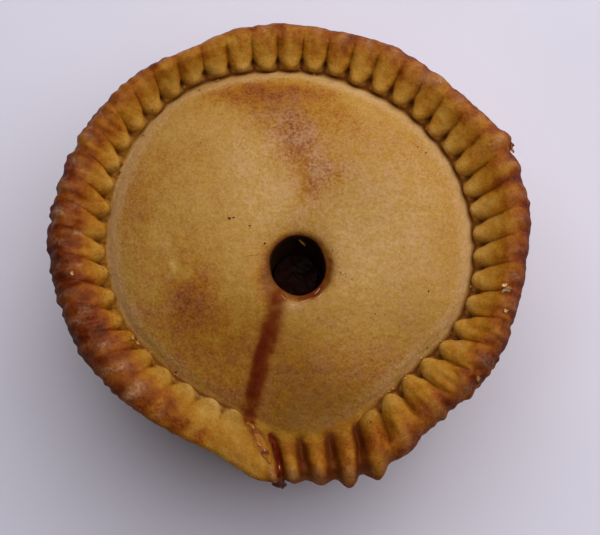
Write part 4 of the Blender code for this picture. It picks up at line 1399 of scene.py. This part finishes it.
class PieColours(bpy.types.PropertyGroup):
    pale: colour_setting("Pale", "Dough that hardly browned", "D0A668")
    straw: colour_setting("Straw", "Lightly baked crust", "BC8F45")
    golden: colour_setting("Golden", "Evenly baked crust", "B08030")
    orange: colour_setting("Orange", "Well baked crust", "A46A18")
    brown: colour_setting("Brown", "Browned crust", "914F12")
    russet: colour_setting("Russet", "Deeply browned crust", "77340D")
    dark: colour_setting("Dark", "Nearly burnt crust", "5E200A")
    burnt: colour_setting("Burnt", "Burnt crust", "4A1C0B")
    # painted pinkish sheen and highlights
    painted_sheen: colour_setting("Bloom", "Pinkish bloom on browned crust", "D6AC7C")
    # painted shade in the creases between the pinches and the ridges, in the groove round the lid and at
    # the vent's mouth
    crease_shade: colour_setting("Crease", "Dark creases between the pinches", "521F06")
    # juice-dulled crust, used also as painted shade at the lid's front
    soaked: colour_setting("Soaked", "Crust dulled by juice", "74500F")
    stain: colour_setting("Stain", "Crust at the edge of a gravy stain", "7E460C")
    gravy_thin: colour_setting("Thin gravy", "Gravy soaked into the crust", "6A2C08")
    gravy: colour_setting("Gravy", "Thick gravy", "5A1602")
    # gravy-soaked crust with the painted shade of the deep vent
    vent_wall_soak_shade: colour_setting("Vent wall", "Darkened crust inside the vent", "35200E")
    # gravy with the painted shade of the deep vent
    shaded_deep_gravy: colour_setting("Deep gravy", "Gravy deep in the vent", "0E0402")
    glaze: colour_setting("Glaze", "Thin clear gravy dried on the rim", "A0641A")
    # painted highlight, pale cream
    highlight_paint: colour_setting("Dried fat", "Pale fat dried on the gravy", "D89A50")
    flake: colour_setting("Flake", "Pale flakes of dough", "E0C08E")


class PieStage(bpy.types.PropertyGroup):
    floor: colour_setting("Floor", "Pale floor", "E4E2E8")
    window_colour: colour_setting("Window light", "Colour of the broad light overhead", "F6F4FF")
    window_power: power_setting("Window power", "Power of the light overhead", 11.3)
    window_size: length_setting("Window size", "Width of the light overhead", 1.5)
    window_place: place_setting("Window place", "Where the light overhead hangs", (0.2, 0.26, 0.76))
    side_colour: colour_setting("Side light", "Colour of the low light from behind", "FFF6EA")
    side_power: power_setting("Side power", "Power of the low light", 0.5)
    side_size: length_setting("Side size", "Width of the low light", 0.31)
    side_place: place_setting("Side place", "Where the low light stands", (0.3, 0.42, 0.152))
    room_colour: colour_setting("Room light", "Colour of the light from all round", "E0E4FF")
    room_strength: FloatProperty(name="Room strength", default=0.01,
                                 description="Strength of the light from all round")
    camera_elevation: FloatProperty(name="Camera elevation", default=math.radians(75), subtype="ANGLE",
                                    unit="ROTATION", description="How far above the horizon it stands")
    camera_distance: length_setting("Camera distance", "From the camera to the pie's top", 0.38)
    view_width: length_setting("View width", "Width that the camera sees at the pie's top", 0.1283)
    camera_aim: place_setting("Camera aim", "What the camera looks at", (0.00236, -0.00628, 0.052))


class PIE_OT_bake_crust(bpy.types.Operator):
    """Make the case, its pinched rim and the lid as one baked crust"""
    bl_idname = "pie.bake_crust"
    bl_label = "Bake crust"

    def execute(self, context):
        make_crust(context.scene.pie_sizes, context.scene.pie_colours)
        return {"FINISHED"}


class PIE_OT_fill_gravy(bpy.types.Operator):
    """Make the gravy that stands in the vent"""
    bl_idname = "pie.fill_gravy"
    bl_label = "Fill gravy"

    def execute(self, context):
        make_gravy(context.scene.pie_colours)
        return {"FINISHED"}


class PIE_OT_lay_films(bpy.types.Operator):
    """Make the gravy that boiled over the brim and the rim"""
    bl_idname = "pie.lay_films"
    bl_label = "Lay gravy films"

    def execute(self, context):
        make_films(context.scene.pie_colours)
        return {"FINISHED"}


class PIE_OT_add_flakes(bpy.types.Operator):
    """Make the torn scales and crumbs of crust"""
    bl_idname = "pie.add_flakes"
    bl_label = "Add flakes"

    def execute(self, context):
        make_flakes(context.scene.pie_colours)
        return {"FINISHED"}


class PIE_OT_add_specks(bpy.types.Operator):
    """Make the dark specks and the crack on the lid"""
    bl_idname = "pie.add_specks"
    bl_label = "Add specks"

    def execute(self, context):
        make_specks(context.scene.pie_colours)
        return {"FINISHED"}


class PIE_OT_set_stage(bpy.types.Operator):
    """Make the floor, the light and the camera"""
    bl_idname = "pie.set_stage"
    bl_label = "Set stage"

    def execute(self, context):
        make_stage(context.scene.pie_stage)
        return {"FINISHED"}


class PIE_PT_panel(bpy.types.Panel):
    bl_label = "Meat and potato pie"
    bl_space_type = "VIEW_3D"
    bl_region_type = "UI"
    bl_category = "Pie"

    def draw(self, context):
        for settings in (context.scene.pie_sizes, context.scene.pie_colours, context.scene.pie_stage):
            box = self.layout.box()
            for name in settings.__annotations__:
                box.prop(settings, name)
        for step in STEPS:
            self.layout.operator(step.bl_idname)


STEPS = (PIE_OT_bake_crust, PIE_OT_fill_gravy, PIE_OT_lay_films, PIE_OT_add_flakes, PIE_OT_add_specks,
         PIE_OT_set_stage)
SETTINGS = {"pie_sizes": PieSizes, "pie_colours": PieColours, "pie_stage": PieStage}


def register():
    for kind in (*SETTINGS.values(), *STEPS, PIE_PT_panel):
        bpy.utils.register_class(kind)
    for name, kind in SETTINGS.items():
        setattr(bpy.types.Scene, name, PointerProperty(type=kind))


def unregister():
    for name in SETTINGS:
        delattr(bpy.types.Scene, name)
    for kind in reversed((*SETTINGS.values(), *STEPS, PIE_PT_panel)):
        bpy.utils.unregister_class(kind)


def main():
    register()
    bpy.ops.pie.bake_crust()
    bpy.ops.pie.fill_gravy()
    bpy.ops.pie.lay_films()
    bpy.ops.pie.add_flakes()
    bpy.ops.pie.add_specks()
    bpy.ops.pie.set_stage()


if __name__ == "__main__":
    main()
